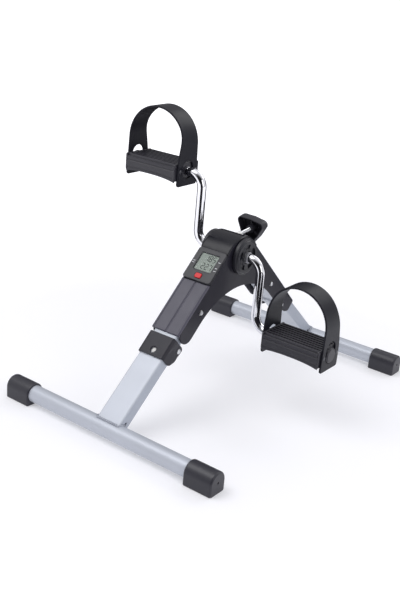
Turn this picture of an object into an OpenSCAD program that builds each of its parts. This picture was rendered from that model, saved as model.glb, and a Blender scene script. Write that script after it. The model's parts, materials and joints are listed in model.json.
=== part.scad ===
// Folding pedal exerciser: a channel frame on two folding legs, a friction-braked crank and two strapped pedals.
// Millimetres. X runs along the crank axle, -Y is the user's side, Z is up.
// The origin is on the floor, midway between the two base tubes.

/* [Base and legs] */
// Length of each base tube over its end caps
base_length = 380; // [340:5:420]
// Distance of each base tube from the middle of the machine
base_y = 252; // [246:1:258]
// Outside diameter of the base tubes
base_tube_d = 25.4; // [24:0.2:26]
// Height of the base tubes' centre line
base_z = 16.5; // [16:0.5:18]
// Outside width of the foot caps
cap_w = 31; // [30:0.5:33]
// Length of the foot caps
cap_length = 45; // [35:1:55]
// Width of the flat leg tube
leg_w = 41; // [40:0.5:42]
// Depth of the flat leg tube
leg_h = 20; // [18:0.5:20]
// Wall thickness of the steel tubes
tube_wall = 1.5; // [1.2:0.1:1.8]

/* [Frame channel] */
// Slope of the two arms
arm_tilt = 43.2; // [42:0.2:44]
// Outside width of the channel
channel_w = 50.2; // [50:0.1:51]
// Thickness of the side plates
plate_t = 2; // [1.6:0.1:2.2]
// Depth of the side plates across an arm
arm_depth = 31.5; // [30:0.5:33]
// Radius of the arch under the frame
arch_r = 134; // [125:1:140]
// Thickness of the plastic covers
cover_t = 2; // [1.6:0.1:2.2]
// Radius of the rounded cover over the crank
dome_r = 45; // [44:0.5:46]

/* [Crank and brake] */
// Height of the crank axle
axle_z = 220.5; // [220:0.5:221]
// Throw of the cranks
crank_throw = 105; // [95:1:110]
// Diameter of the crank rod
rod_d = 14; // [13:0.5:14]
// Distance of the crank arms from the middle
crank_x = 60; // [58:1:62]
// Centre-line radius of the bends in the crank rod
bend_r = 21; // [18:1:22]
// Radius of the hub discs
hub_r = 28; // [26:0.5:29]
// Radius of the brake drum
drum_r = 13.3; // [12.8:0.1:13.4]
// Tilt of the tension screw above the horizontal
screw_tilt = 7; // [6:0.5:8]

/* [Pedals] */
// Inner face of each pedal, measured from the middle
pedal_in = 89; // [88:0.5:92]
// Length of a pedal along its spindle
pedal_l = 103; // [100:1:104]
// Width of a pedal across its spindle
pedal_w = 58; // [54:1:60]
// Height of the strap's top above the spindle
strap_h = 91; // [85:1:95]
// Thickness of the strap
strap_t = 3; // [2.5:0.5:3]
// Number of ribs on the tread
tread_ribs = 8; // [6:1:9]

/* [Monitor] */
// Length of the monitor along the arm
monitor_l = 54.9; // [52:0.5:56]
// Height of the monitor's face above the side plates
monitor_proud = 4.3; // [3:0.1:4.5]
// Width of the display opening
window_w = 31; // [28:1:34]
// Length of the display opening
window_l = 29; // [26:1:30]

/* [Hidden] */
$fn = 64;

charcoal = [0.24, 0.235, 0.26];
black = [0.13, 0.13, 0.15];
silver = [0.74, 0.76, 0.80];
chrome = [0.85, 0.85, 0.87];
steel = [0.62, 0.63, 0.65];
white = [0.93, 0.93, 0.93];
e = 1;                 // overrun of cutting tools

// Arm frame: s runs down the arm, d runs outward from the arch. d is measured from the origin.
half_w = channel_w / 2;
plate_in = half_w - plate_t;
sheet_top = 191;                        // outside of the channel's top web
web_t = 1.6;
cover_top = sheet_top + cover_t;
arm_in = cover_top - arm_depth;         // inner edge of the side plates
arm_top_s = -130;                       // upper end of each arm
arch_z = (arm_in - arch_r) / cos(arm_tilt);
dome_z = 205;
cover_end_s = 10.5;
cover_lip = 8;                          // length of the thick lip at a cover's lower end

// Stub tube fixed inside each arm
stub_bottom = 169.2;
stub_top = stub_bottom + leg_h;
stub_start = -52;
stub_end = 25.8;
stub_bolt_s = -38.2;
stub_bolt_d = 174.4;
stub_bolt_r = 3;

// Folding bracket and hinge
bracket_start = 18.5;
bracket_end = 53.5;
bracket_wall = 2.5;
bracket_top = 193.8;
bracket_out = 23.4;
bracket_in = bracket_out - bracket_wall;
hinge_s = 26.5;
hinge_d = 169.3;
hinge_pin_r = 3;
hinge_gap = 0.06;                       // radial running clearance
barrel_r = 4.5;
barrel_half = leg_w / 2 - 0.2;
button_s = 44.5;
button_hole_r = 4.6;
button_r = 4;

function arm_y(s, d) = s * cos(arm_tilt) + d * sin(arm_tilt);
function arm_z(s, d) = -s * sin(arm_tilt) + d * cos(arm_tilt);

// Leg line, from the base tube up to the knee just below the stub
knee_s = 27.2;
knee_d = 179.5;
knee_y = arm_y(knee_s, knee_d);
knee_z = arm_z(knee_s, knee_d);
leg_tilt = atan2(knee_z - base_z, base_y - knee_y);
leg_l = norm([base_y - knee_y, knee_z - base_z]);
hinge_y = arm_y(hinge_s, hinge_d);
hinge_z = arm_z(hinge_s, hinge_d);
cap_r = cap_w / 2;
cap_wall = 3;

// Button height: a little above the leg, just inside the bracket's top wall
button_up = 0.7;
button_low = 0.8;                       // lower end of its shank above the middle of the leg
button_along = leg_l - (button_s - knee_s);   // distance from the base tube

// Crank parts
rod_r = rod_d / 2;
axle_half = 27;
spigot_r = 4;
spigot_l = 18;
hub_in = 26.8;
hub_out = 34.8;
hub_recess = 4;
collar_r = 8.8;                          // collar on the crank, seated in the hub disc's recess
bush_r = 10;
flange_r = 13;
spindle_end = pedal_in + pedal_l - 4.5;
run_gap = 0.05;                          // radial running clearance of turning parts
magnet_t = 1.4;                          // sits in the drum's flange, clear of the band
band_in_r = drum_r + 0.2;
band_out_r = drum_r + 1.9;
band_pin_y = -19;
band_pin_z = 232;

// Tension screw: passes through the dome at the exit point
screw_y = 18;
screw_z = 242;
screw_r = 3;
screw_in = -15;                          // inner end, along the screw from the exit point
knob_at = 39.5;                          // middle of the knob
knob_t = 16;
knob_lobe_r = 7.5;
knob_pitch_r = 19;
knob_turn = -25;                         // first lobe, above the X axis when negative

// Monitor
monitor_top_d = sheet_top + monitor_proud;
monitor_in_d = 172;
monitor_s = arm_top_s;
monitor_end = monitor_s + monitor_l;
window_s = monitor_s + 8;
button_mid_s = monitor_s + 46.5;
board_d = 186;
battery_r = 5.2;

// Pedal details
tread_z = 12;
end_plate_t = 3;
body_bottom = -14;
strap_w_top = 31;
strap_w_low = 47;
strap_foot = -23;
strap_arc_r = pedal_l / 2;
stud_y = 18;
slot_r = 12.5;                           // slots in the strap round the spindle and its cap
inner_slot_reach = 3;
outer_slot_reach = 8.5;

// Places a part drawn for the rear end at either end: -1 is the front, +1 the rear.
module at_end(end) {
  if (end > 0) children();
  else mirror([0, 1, 0]) children();
}

// Arm frame in 3D: Y is s and Z is d.
module on_arm(end) {
  at_end(end) rotate([-arm_tilt, 0, 0]) children();
}

// Leg frame in 3D: Y runs from the knee down to the base tube, Z is outward, origin on the base tube.
module on_leg(end) {
  at_end(end) translate([0, base_y, base_z]) rotate([-leg_tilt, 0, 0]) children();
}

// A profile drawn in Y and Z, extruded along X from x0 to x1.
module along_x(x0, x1) {
  translate([x0, 0, 0]) rotate([90, 0, 90]) linear_extrude(height = x1 - x0) children();
}

// A box given by its low and high corners.
module block(low, high) {
  translate(low) cube(high - low);
}

// A round bar along X.
module bar_x(x0, x1, r, y = 0, z = 0) {
  translate([x0, y, z]) rotate([0, 90, 0]) cylinder(r = r, h = x1 - x0);
}

// A slab with rounded vertical corners, its height along Z.
module rounded_slab(w, l, h, r) {
  union() {
    translate([-w / 2 + r, -l / 2, 0]) cube([w - 2 * r, l, h]);
    translate([-w / 2, -l / 2 + r, 0]) cube([w, l - 2 * r, h]);
    for (x = [-1, 1]) for (y = [-1, 1])
      translate([x * (w / 2 - r), y * (l / 2 - r), 0]) cylinder(r = r, h = h);
  }
}

/* Frame */

module arm_profile(end) {
  mirror([end > 0 ? 0 : 1, 0]) rotate(-arm_tilt) {
    translate([arm_top_s, arm_in]) square([-arm_top_s, sheet_top - arm_in]);
    intersection() {
      translate([0, cover_top - arm_depth / 2]) circle(r = arm_depth / 2);
      translate([-arm_depth, 0]) square([3 * arm_depth, sheet_top]);
    }
  }
}

module side_profile() {
  shoulder_y = 92;
  shoulder_z = (arm_in - shoulder_y * sin(arm_tilt)) / cos(arm_tilt);
  difference() {
    union() {
      arm_profile(1);
      arm_profile(-1);
      translate([0, dome_z]) circle(r = dome_r - cover_t, $fn = 96);
      polygon([[-shoulder_y, shoulder_z], [0, arm_in / cos(arm_tilt)], [shoulder_y, shoulder_z]]);
    }
    translate([0, arch_z]) circle(r = arch_r, $fn = 180);
  }
}

module main_channel() color(charcoal) {
  web_end = 2;
  difference() {
    union() {
      for (x = [-half_w, plate_in]) along_x(x, x + plate_t) side_profile();
      on_arm(1) block([-plate_in, arm_top_s + 2, sheet_top - web_t], [plate_in, web_end, sheet_top]);
      on_arm(-1) block([-plate_in, monitor_end, sheet_top - web_t], [plate_in, web_end, sheet_top]);
    }
    bar_x(-half_w - e, half_w + e, bush_r, 0, axle_z);
    bar_x(-half_w - e, half_w + e, 2, band_pin_y, band_pin_z);
    for (end = [-1, 1]) on_arm(end) {
      bar_x(-half_w - e, half_w + e, stub_bolt_r, stub_bolt_s, stub_bolt_d);
      for (x = [-12, 12]) translate([x, -62, sheet_top - 2 * web_t]) cylinder(r = 1.5, h = 3 * web_t);
    }
    on_arm(-1) block([-half_w - e, arm_top_s - e, sheet_top - 0.02], [half_w + e, monitor_end, sheet_top + e]);
  }
}

module dome_shroud() color(black) {
  difference() {
    along_x(-half_w, half_w) difference() {
      translate([0, dome_z]) circle(r = dome_r, $fn = 96);
      translate([0, dome_z]) circle(r = dome_r - cover_t, $fn = 96);
      for (m = [0, 1]) mirror([m, 0]) rotate(-arm_tilt)
        translate([arm_top_s - 0.2, -100]) square([400, 400]);
    }
    on_screw() translate([0, 0, -12]) cylinder(r = 5, h = 32);
  }
}

// Arm cover: a thin sheet with a raised bead along each edge, a middle groove and a thick lower lip.
module arm_cover(end, start) {
  bead = 0.8;
  on_arm(end) difference() {
    union() {
      block([-half_w, start, sheet_top], [half_w, cover_end_s, cover_top - bead]);
      for (x = [-half_w + 1.2, half_w - 2.6 - 1.2])
        block([x, start, sheet_top], [x + 2.6, cover_end_s, cover_top]);
      block([-half_w + 3, start, sheet_top], [-0.8, cover_end_s - 3, cover_top - 0.2]);
      block([0.8, start, sheet_top], [half_w - 3, cover_end_s - 3, cover_top - 0.2]);
      block([-plate_in + 0.2, cover_end_s - cover_lip, sheet_top - web_t],
            [plate_in - 0.2, cover_end_s, sheet_top]);
    }
    for (x = [-12, 12]) translate([x, -62, sheet_top - e]) cylinder(r = 1.5, h = e + 1);
  }
}
module front_arm_cover() color(charcoal) arm_cover(-1, monitor_end + 0.3);
module rear_arm_cover() color(charcoal) arm_cover(1, arm_top_s + 0.6);

module stub_tube(end) color(silver) on_arm(end) {
  mid_d = stub_bottom + leg_h / 2;
  difference() {
    intersection() {
      block([-leg_w / 2, stub_start - leg_h, stub_bottom], [leg_w / 2, stub_end, stub_top]);
      union() {
        block([-leg_w, stub_start, 0], [leg_w, stub_end + e, 400]);
        bar_x(-leg_w, leg_w, leg_h / 2, stub_start, mid_d);
      }
    }
    block([-leg_w / 2 + tube_wall, stub_start - leg_h, stub_bottom + tube_wall],
          [leg_w / 2 - tube_wall, stub_end + e, stub_top - tube_wall]);
    bar_x(-leg_w, leg_w, stub_bolt_r, stub_bolt_s, stub_bolt_d);
    bar_x(-leg_w, leg_w, barrel_r + 0.6, hinge_s, hinge_d);
  }
}
module front_stub() stub_tube(-1);
module rear_stub() stub_tube(1);

module ear_profile() {
  ear_r = 19;
  ear_s = 36;
  intersection() {
    union() {
      translate([ear_s, 183.5]) circle(r = ear_r);
      hull() {
        translate([hinge_s, hinge_d]) circle(r = 6, $fn = 32);
        translate([hinge_s + 8, hinge_d + 8]) circle(r = 7, $fn = 32);
      }
      translate([bracket_start, 180]) square([bracket_end - bracket_start, bracket_top - 180]);
    }
    translate([bracket_start, 100]) square([bracket_end - bracket_start, bracket_top - 100]);
  }
}

// Folding bracket: a pressed channel whose ears carry the hinge pin below the tube.
module fold_bracket(end) color(charcoal) on_arm(end) difference() {
  union() {
    for (x = [-bracket_out, bracket_in]) along_x(x, x + bracket_wall) ear_profile();
    block([-bracket_out, bracket_start, bracket_top - bracket_wall],
          [bracket_out, bracket_end, bracket_top]);
    for (x = [-1, 1]) block(
      [x > 0 ? leg_w / 2 : -bracket_in, bracket_start, stub_bottom + 6],
      [x > 0 ? bracket_in : -leg_w / 2, bracket_start + 4, bracket_top - bracket_wall]);
    block([-bracket_in, bracket_start, stub_top], [bracket_in, bracket_start + 4, bracket_top - bracket_wall]);
  }
  bar_x(-bracket_out - e, bracket_out + e, hinge_pin_r, hinge_s, hinge_d);
  translate([0, button_s, bracket_top - 2 * bracket_wall]) cylinder(r = button_hole_r, h = 3 * bracket_wall);
}
module front_bracket() fold_bracket(-1);
module rear_bracket() fold_bracket(1);

module hinge_pin(end) color(chrome) on_arm(end) {
  head_t = 1.2;
  bar_x(-bracket_out, bracket_out, hinge_pin_r, hinge_s, hinge_d);
  bar_x(bracket_out, bracket_out + head_t, 4.6, hinge_s, hinge_d);
  bar_x(-bracket_out - head_t, -bracket_out, 4.6, hinge_s, hinge_d);
}
module front_hinge_pin() hinge_pin(-1);
module rear_hinge_pin() hinge_pin(1);

module stub_bolts() color(steel) for (end = [-1, 1]) on_arm(end) {
  bar_x(-half_w - 4.5, half_w, stub_bolt_r, stub_bolt_s, stub_bolt_d);
  bar_x(half_w, half_w + 1.6, 4.2, stub_bolt_s, stub_bolt_d);
}

module stub_nuts() color(steel) for (end = [-1, 1]) on_arm(end) difference() {
  translate([-half_w - 4, stub_bolt_s, stub_bolt_d]) rotate([0, 90, 0]) cylinder(r = 5.4, h = 4, $fn = 6);
  bar_x(-half_w - 5, -half_w + e, stub_bolt_r, stub_bolt_s, stub_bolt_d);
}

module stub_spacers() color(white) for (end = [-1, 1]) on_arm(end) for (x = [-plate_in, leg_w / 2])
  difference() {
    bar_x(x, x + plate_in - leg_w / 2, 5, stub_bolt_s, stub_bolt_d);
    bar_x(x - e, x + plate_in, stub_bolt_r, stub_bolt_s, stub_bolt_d);
  }

module cover_screws() color(steel) for (end = [-1, 1]) on_arm(end) for (x = [-12, 12])
  translate([x, -62, 0]) {
    translate([0, 0, sheet_top - web_t - 1.6]) cylinder(r = 3, h = 1.6);
    translate([0, 0, sheet_top - web_t]) cylinder(r = 1.5, h = web_t + 1);
  }

/* Monitor */

module monitor_housing() color(charcoal) on_arm(-1) {
  deep_w = 42;
  wall = 2;
  mid_s = (monitor_s + monitor_end) / 2;
  difference() {
    union() {
      translate([0, mid_s, sheet_top]) rounded_slab(channel_w, monitor_l, monitor_proud, 4);
      block([-deep_w / 2, monitor_s, monitor_in_d], [deep_w / 2, monitor_end, sheet_top + e]);
    }
    block([-deep_w / 2 + wall, monitor_s + wall, monitor_in_d + wall],
          [deep_w / 2 - wall, monitor_end - wall, monitor_top_d - wall]);
    block([-window_w / 2, window_s, monitor_top_d - 2 * wall], [window_w / 2, window_s + window_l, monitor_top_d + e]);
    block([-5.5, button_mid_s - 4, monitor_top_d - 2 * wall], [5.5, button_mid_s + 4, monitor_top_d + e]);
    block([-12, monitor_s + 10, monitor_in_d - e], [12, monitor_end - 10, monitor_in_d + wall + e]);
  }
}

module display_window() color([0.8, 0.85, 0.85]) on_arm(-1)
  block([-window_w / 2, window_s, monitor_top_d - 1.6], [window_w / 2, window_s + window_l, monitor_top_d - 0.6]);

module display_panel() color([0.66, 0.69, 0.66]) on_arm(-1)
  block([-18, window_s - 2, monitor_top_d - 4.4], [18, window_s + window_l + 2, monitor_top_d - 2.05]);

module circuit_board() color([0.12, 0.35, 0.2]) on_arm(-1) {
  block([-18.5, monitor_s + 4, board_d], [18.5, monitor_end - 3, board_d + 1.6]);
  block([-3, button_mid_s - 3, board_d + 1.6], [3, button_mid_s + 3, board_d + 2.4]);
  block([-16, window_s, board_d + 1.6], [16, window_s + 4, monitor_top_d - 4.4]);
}

module battery_cell() color([0.3, 0.45, 0.7]) on_arm(-1)
  bar_x(-17, 17, battery_r, (monitor_s + monitor_end) / 2, board_d - battery_r - 0.4);

module battery_door() color(charcoal) on_arm(-1) {
  block([-11.8, monitor_s + 10.2, monitor_in_d], [11.8, monitor_end - 10.2, monitor_in_d + 2]);
  block([-3, monitor_end - 14, monitor_in_d - 1.5], [3, monitor_end - 12, monitor_in_d]);
}

module reset_button() color([0.85, 0.13, 0.13]) on_arm(-1) translate([0, button_mid_s, 0]) {
  translate([0, 0, board_d + 3.6]) rounded_slab(10.6, 7.6, monitor_top_d + 1.2 - board_d - 3.6, 1.5);
  translate([0, 0, board_d + 4.6]) rounded_slab(13, 10, 1, 1.5);
}

/* Axle, brake and tension */

module axle_bushes() color(white) for (side = [-1, 1]) scale([side, 1, 1]) difference() {
  union() {
    bar_x(21, half_w, bush_r, 0, axle_z);
    bar_x(half_w, half_w + 1.2, flange_r, 0, axle_z);
  }
  bar_x(20, half_w + 2, rod_r + run_gap, 0, axle_z);
}

module brake_band() color([0.25, 0.22, 0.2]) {
  tab_a = atan2(band_pin_z - axle_z, band_pin_y);
  tab_l = norm([band_pin_y, band_pin_z - axle_z]);
  along_x(-10, 10) difference() {
    union() {
      translate([0, axle_z]) circle(r = band_out_r);
      translate([0, axle_z]) rotate(tab_a) translate([0, -1]) square([tab_l, 2]);
      translate([band_pin_y, band_pin_z]) circle(r = 4);
    }
    translate([0, axle_z]) circle(r = band_in_r);
    translate([band_pin_y, band_pin_z]) circle(r = 2);
    translate([-4, axle_z + 5]) square([10, band_out_r]);
  }
}

module band_pin() color(steel) bar_x(-half_w, half_w, 2, band_pin_y, band_pin_z);

// Screw frame: Z runs outward along the tension screw, origin where it leaves the dome.
module on_screw() {
  translate([0, screw_y, screw_z]) rotate([-90 + screw_tilt, 0, 0]) children();
}

module screw_bush() color(white) on_screw() difference() {
  translate([0, 0, -2.5]) cylinder(r = 5, h = 9);
  translate([0, 0, -5]) cylinder(r = screw_r + run_gap, h = 14);
}

module tension_screw() color(chrome) on_screw() {
  translate([0, 0, screw_in]) cylinder(r = screw_r, h = knob_at - screw_in);
  translate([0, 0, 6.9]) cylinder(r = 5, h = 1.6);
}

module tension_knob() color(black) on_screw() translate([0, 0, knob_at]) difference() {
  union() {
    difference() {
      translate([0, 0, -knob_t / 2]) linear_extrude(height = knob_t) knob_outline(0);
      translate([0, 0, -knob_t / 2 - e]) linear_extrude(height = knob_t - 3 + e) knob_outline(2.4);
    }
    translate([0, 0, -knob_t / 2]) cylinder(r = 6.5, h = knob_t - 1);
  }
  translate([0, 0, -knob_t]) cylinder(r = screw_r, h = knob_t);
}
module knob_outline(inset) hull() for (i = [0:2]) rotate(knob_turn + 120 * i)
  translate([knob_pitch_r, 0]) circle(r = knob_lobe_r - inset, $fn = 32);

module band_anchor() color(steel) on_screw() difference() {
  translate([-5, -4, -13]) cube([10, 8, 6]);
  translate([0, 0, -15]) cylinder(r = screw_r + run_gap, h = 10);
}

module speed_sensor() color(black)
  block([16.5, -5, axle_z - 19], [plate_in, 5, axle_z - 11.5]);

// Sensor lead: a round cable swept along its route inside the frame
lead_r = 1;
lead_sides = 8;
lead_route = [
  [19, 0, 201.5], [19, -0.6, 198], [19, -3, 194.6], [18.8, -7.5, 191.5], [18.5, -13, 189.2],
  [18, -19, 187.8], [17.5, -25, 187.4], [17, -31, 188.1], [16.6, -35.6, 190], [16.4, -38.7, 192.6],
  [16.3, -41, 196.9]
];
function unit(v) = v / norm(v);
function lead_dir(i) = unit(lead_route[min(i + 1, len(lead_route) - 1)] - lead_route[max(i - 1, 0)]);
function lead_point(i, j) =
  let (d = lead_dir(i), u = unit(cross(d, [1, 0, 0])), w = cross(d, u), a = 360 * j / lead_sides)
  lead_route[i] + lead_r * (cos(a) * u + sin(a) * w);
module sensor_lead() color(black) {
  rings = len(lead_route);
  points = [for (i = [0:rings - 1]) for (j = [0:lead_sides - 1]) lead_point(i, j)];
  walls = [for (i = [0:rings - 2]) for (j = [0:lead_sides - 1])
    let (k = (j + 1) % lead_sides, a = i * lead_sides, b = a + lead_sides) [a + j, b + j, b + k, a + k]];
  start_face = [for (j = [0:lead_sides - 1]) j];
  end_face = [for (j = [lead_sides - 1:-1:0]) (rings - 1) * lead_sides + j];
  polyhedron(points, concat(walls, [start_face, end_face]));
}

/* Crank */

module axle_tube() color(steel) difference() {
  bar_x(-axle_half, axle_half, rod_r, 0, axle_z);
  bar_x(-axle_half - e, axle_half + e, spigot_r, 0, axle_z);
  crank_pin_bars(rod_r + e);
}

module crank_pin_bars(reach) for (side = [-1, 1])
  translate([side * 16, reach, axle_z]) rotate([90, 0, 0]) cylinder(r = 1.5, h = 2 * reach);
module crank_pins() color(steel) crank_pin_bars(rod_r);

module brake_drum() color(white) difference() {
  union() {
    bar_x(-12, 12, drum_r, 0, axle_z);
    for (x = [-12, 10.5]) bar_x(x, x + 1.5, 15.6, 0, axle_z);
  }
  bar_x(-13, 13, rod_r, 0, axle_z);
  magnet_bar();
}
module magnet_bar() bar_x(12 - magnet_t, 12, 2.4, 0, axle_z - 12.6);
module sensor_magnet() color(steel) magnet_bar();

// Bent crank rod, drawn for the right side in the X-Z plane. way is -1 for a throw down, +1 for up.
module crank(side, way) color(chrome) translate([0, 0, axle_z]) scale([side, 1, way]) {
  rod_run = crank_throw - 2 * bend_r;
  difference() {
    union() {
      bar_x(axle_half - spigot_l, axle_half, spigot_r);
      bar_x(axle_half, crank_x - bend_r, rod_r);
      bar_x(hub_out - hub_recess + 0.1, crank_x - bend_r, collar_r);
      translate([crank_x - bend_r, 0, bend_r]) rotate([90, 0, 0]) rotate([0, 0, -90])
        rotate_extrude(angle = 90) translate([bend_r, 0]) circle(r = rod_r);
      translate([crank_x, 0, bend_r]) cylinder(r = rod_r, h = rod_run);
      translate([crank_x + bend_r, 0, crank_throw - bend_r]) rotate([90, 0, 0]) rotate([0, 0, 90])
        rotate_extrude(angle = 90) translate([bend_r, 0]) circle(r = rod_r);
      bar_x(crank_x + bend_r, spindle_end, rod_r, 0, crank_throw);
    }
    translate([16, rod_r, 0]) rotate([90, 0, 0]) cylinder(r = 1.5, h = rod_d);
  }
}
module right_crank() crank(1, -1);
module left_crank() crank(-1, 1);

module hub_disc(side) color(black) translate([0, 0, axle_z]) scale([side, 1, 1]) difference() {
  union() {
    bar_x(hub_in, hub_out - 2.5, hub_r);
    bar_x(hub_out - 2.5, hub_out, hub_r - 3);
  }
  bar_x(hub_out - hub_recess, hub_out + e, hub_r * 0.55);
  bar_x(hub_in - e, hub_out + e, rod_r);
}
module right_hub_disc() hub_disc(1);
module left_hub_disc() hub_disc(-1);

/* Pedals: drawn for the right side with the spindle on the X axis */

module on_spindle(side) translate([0, 0, axle_z - side * crank_throw]) scale([side, 1, 1]) children();

module pedal_body(side) color(black) on_spindle(side) {
  plate_x = [pedal_in + strap_t, pedal_in + pedal_l - strap_t - end_plate_t];
  rib_pitch = (pedal_w - 6) / (tread_ribs - 1);
  deck_z = 8.5;
  deck_t = 3;
  half = pedal_w / 2;
  difference() {
    union() {
      for (x = plate_x) block([x, -half, body_bottom], [x + end_plate_t, half, tread_z]);
      bar_x(plate_x[0], plate_x[1] + e, rod_r + 3);
      block([plate_x[0], -half, deck_z - deck_t], [plate_x[1] + e, half, deck_z]);
      for (i = [0:tread_ribs - 1])
        block([plate_x[0], -half + i * rib_pitch, deck_z], [plate_x[1] + e, -half + 6 + (i - 1) * rib_pitch + 4, tread_z]);
      for (y = [-half, half - 3]) block([plate_x[0], y, body_bottom], [plate_x[1] + e, y + 3, deck_z]);
      block([plate_x[0], -1.5, rod_r], [plate_x[1] + e, 1.5, deck_z]);
    }
    bar_x(pedal_in - e, pedal_in + pedal_l + e, rod_r + run_gap);
  }
}

// Side view of the strap: a wide foot with round corners, narrowing upward to the band over the tread
module strap_side_profile() {
  half = strap_w_low / 2;
  corner = 4;
  union() {
    polygon([
      [-half, strap_foot + corner], [half, strap_foot + corner], [half, 14], [strap_w_top / 2, 52],
      [strap_w_top / 2, strap_h + e], [-strap_w_top / 2, strap_h + e], [-strap_w_top / 2, 52], [-half, 14]
    ]);
    translate([-half + corner, strap_foot]) square([strap_w_low - 2 * corner, 2 * corner]);
    for (y = [-1, 1]) translate([y * (half - corner), strap_foot + corner]) circle(r = corner);
  }
}

// Upright slot round the spindle, reaching above it.
module strap_slot(reach) {
  circle(r = slot_r);
  translate([0, reach]) circle(r = slot_r);
  translate([-slot_r, 0]) square([2 * slot_r, reach]);
}

// Foot strap: a bent band over the tread, slotted round the spindle at each end.
module foot_strap(side) color(black) on_spindle(side) {
  mid = pedal_in + pedal_l / 2;
  arc_z = strap_h - strap_arc_r;
  difference() {
    intersection() {
      translate([0, strap_w_low, 0]) rotate([90, 0, 0]) linear_extrude(height = 2 * strap_w_low) difference() {
        union() {
          translate([mid, arc_z]) circle(r = strap_arc_r, $fn = 96);
          translate([pedal_in, strap_foot]) square([pedal_l, arc_z - strap_foot]);
        }
        translate([mid, arc_z]) circle(r = strap_arc_r - strap_t, $fn = 96);
        translate([pedal_in + strap_t, strap_foot - e]) square([pedal_l - 2 * strap_t, arc_z - strap_foot + e]);
      }
      along_x(pedal_in - e, pedal_in + pedal_l + e) strap_side_profile();
    }
    along_x(pedal_in - e, mid) strap_slot(inner_slot_reach);
    along_x(mid, pedal_in + pedal_l + e) strap_slot(outer_slot_reach);
    for (y = [-stud_y, stud_y]) bar_x(pedal_in - e, pedal_in + pedal_l + e, 1.8, y);
  }
}

module strap_studs(side) color(steel) on_spindle(side) for (y = [-stud_y, stud_y]) {
  bar_x(pedal_in, pedal_in + strap_t, 1.8, y, 0);
  bar_x(pedal_in - 1.2, pedal_in, 3.2, y, 0);
  bar_x(pedal_in + pedal_l - strap_t, pedal_in + pedal_l, 1.8, y, 0);
  bar_x(pedal_in + pedal_l, pedal_in + pedal_l + 1.2, 3.2, y, 0);
}

module spindle_cap(side) color(black) on_spindle(side) difference() {
  union() {
    bar_x(pedal_in + pedal_l - strap_t, pedal_in + pedal_l + 1, 12);
    bar_x(pedal_in + pedal_l + 1, pedal_in + pedal_l + 2, 10.5);
  }
  bar_x(pedal_in + pedal_l - strap_t - e, pedal_in + pedal_l - 0.5, rod_r + 1.5);
}

module left_pedal_body() pedal_body(-1);
module right_pedal_body() pedal_body(1);
module left_strap() foot_strap(-1);
module right_strap() foot_strap(1);
module left_strap_studs() strap_studs(-1);
module right_strap_studs() strap_studs(1);
module left_spindle_cap() spindle_cap(-1);
module right_spindle_cap() spindle_cap(1);

/* Legs */

module leg_tube(end) color(silver) difference() {
  union() {
    difference() {
      on_leg(end) difference() {
        block([-leg_w / 2, -leg_l, -leg_h / 2], [leg_w / 2, 0, leg_h / 2]);
        block([-leg_w / 2 + tube_wall, -leg_l - e, -leg_h / 2 + tube_wall],
              [leg_w / 2 - tube_wall, e, leg_h / 2 - tube_wall]);
        translate([0, -button_along, 0]) cylinder(r = button_r + 0.1, h = leg_h);
        bar_x(0, leg_w, 2.2, -16, 0);
      }
      at_end(end) bar_x(-leg_w, leg_w, base_tube_d / 2, base_y, base_z);
    }
    at_end(end) bar_x(-barrel_half, barrel_half, barrel_r, hinge_y, hinge_z);
  }
  at_end(end) bar_x(-leg_w, leg_w, hinge_pin_r + hinge_gap, hinge_y, hinge_z);
}

module base_tube(end) color(silver) at_end(end) {
  tube_half = base_length / 2 - cap_wall;
  difference() {
    bar_x(-tube_half, tube_half, base_tube_d / 2, base_y, base_z);
    bar_x(-tube_half - e, tube_half + e, base_tube_d / 2 - tube_wall, base_y, base_z);
  }
}

module weld_bead(end) color(steel) {
  bead = 1.8;
  difference() {
    on_leg(end) block([-leg_w / 2 - bead, -base_tube_d / 2 - bead, -leg_h / 2 - bead],
                      [leg_w / 2 + bead, 0, leg_h / 2 + bead]);
    on_leg(end) block([-leg_w / 2, -leg_l, -leg_h / 2], [leg_w / 2, e, leg_h / 2]);
    at_end(end) bar_x(-leg_w, leg_w, base_tube_d / 2, base_y, base_z);
  }
}

// Foot cap: flat sole, upright sides and a round top, bored for the tube.
module foot_cap(end, side) color(black) at_end(end) scale([side, 1, 1]) {
  x1 = base_length / 2;
  x0 = x1 - cap_length;
  difference() {
    along_x(x0, x1) {
      translate([base_y, base_z]) circle(r = cap_r);
      translate([base_y - cap_r, 0]) square([cap_w, base_z]);
    }
    bar_x(x0 - e, x1 - cap_wall, base_tube_d / 2, base_y, base_z);
    bar_x(x1 - cap_wall - e, x1 + e, 1.6, base_y, base_z);
  }
}

// Snap button: a headed pin held up against the leg's top wall by a bent leaf spring.
module lock_button(end) color(white) on_leg(end) translate([0, -button_along, 0]) {
  translate([0, 0, button_low]) cylinder(r = button_r, h = leg_h / 2 + button_up - button_low);
  translate([0, 0, leg_h / 2 - tube_wall - 1.6]) cylinder(r = button_r + 1.6, h = 1.5);
}

module lock_spring(end) color(steel) on_leg(end) translate([0, -button_along, 0]) {
  leaf = 0.8;
  floor_z = -leg_h / 2 + tube_wall;
  block([-5, -10, floor_z], [5, 14, floor_z + leaf]);
  block([-5, 13.2, floor_z + leaf], [5, 14, -2]);
  block([-5, -6, -2 - leaf], [5, 14, -2]);
}

module front_leg_tube() leg_tube(-1);
module rear_leg_tube() leg_tube(1);
module front_base_tube() base_tube(-1);
module rear_base_tube() base_tube(1);
module front_weld_bead() weld_bead(-1);
module rear_weld_bead() weld_bead(1);
module front_left_foot() foot_cap(-1, -1);
module front_right_foot() foot_cap(-1, 1);
module rear_left_foot() foot_cap(1, -1);
module rear_right_foot() foot_cap(1, 1);
module front_lock_button() lock_button(-1);
module rear_lock_button() lock_button(1);
module front_lock_spring() lock_spring(-1);
module rear_lock_spring() lock_spring(1);

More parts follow.
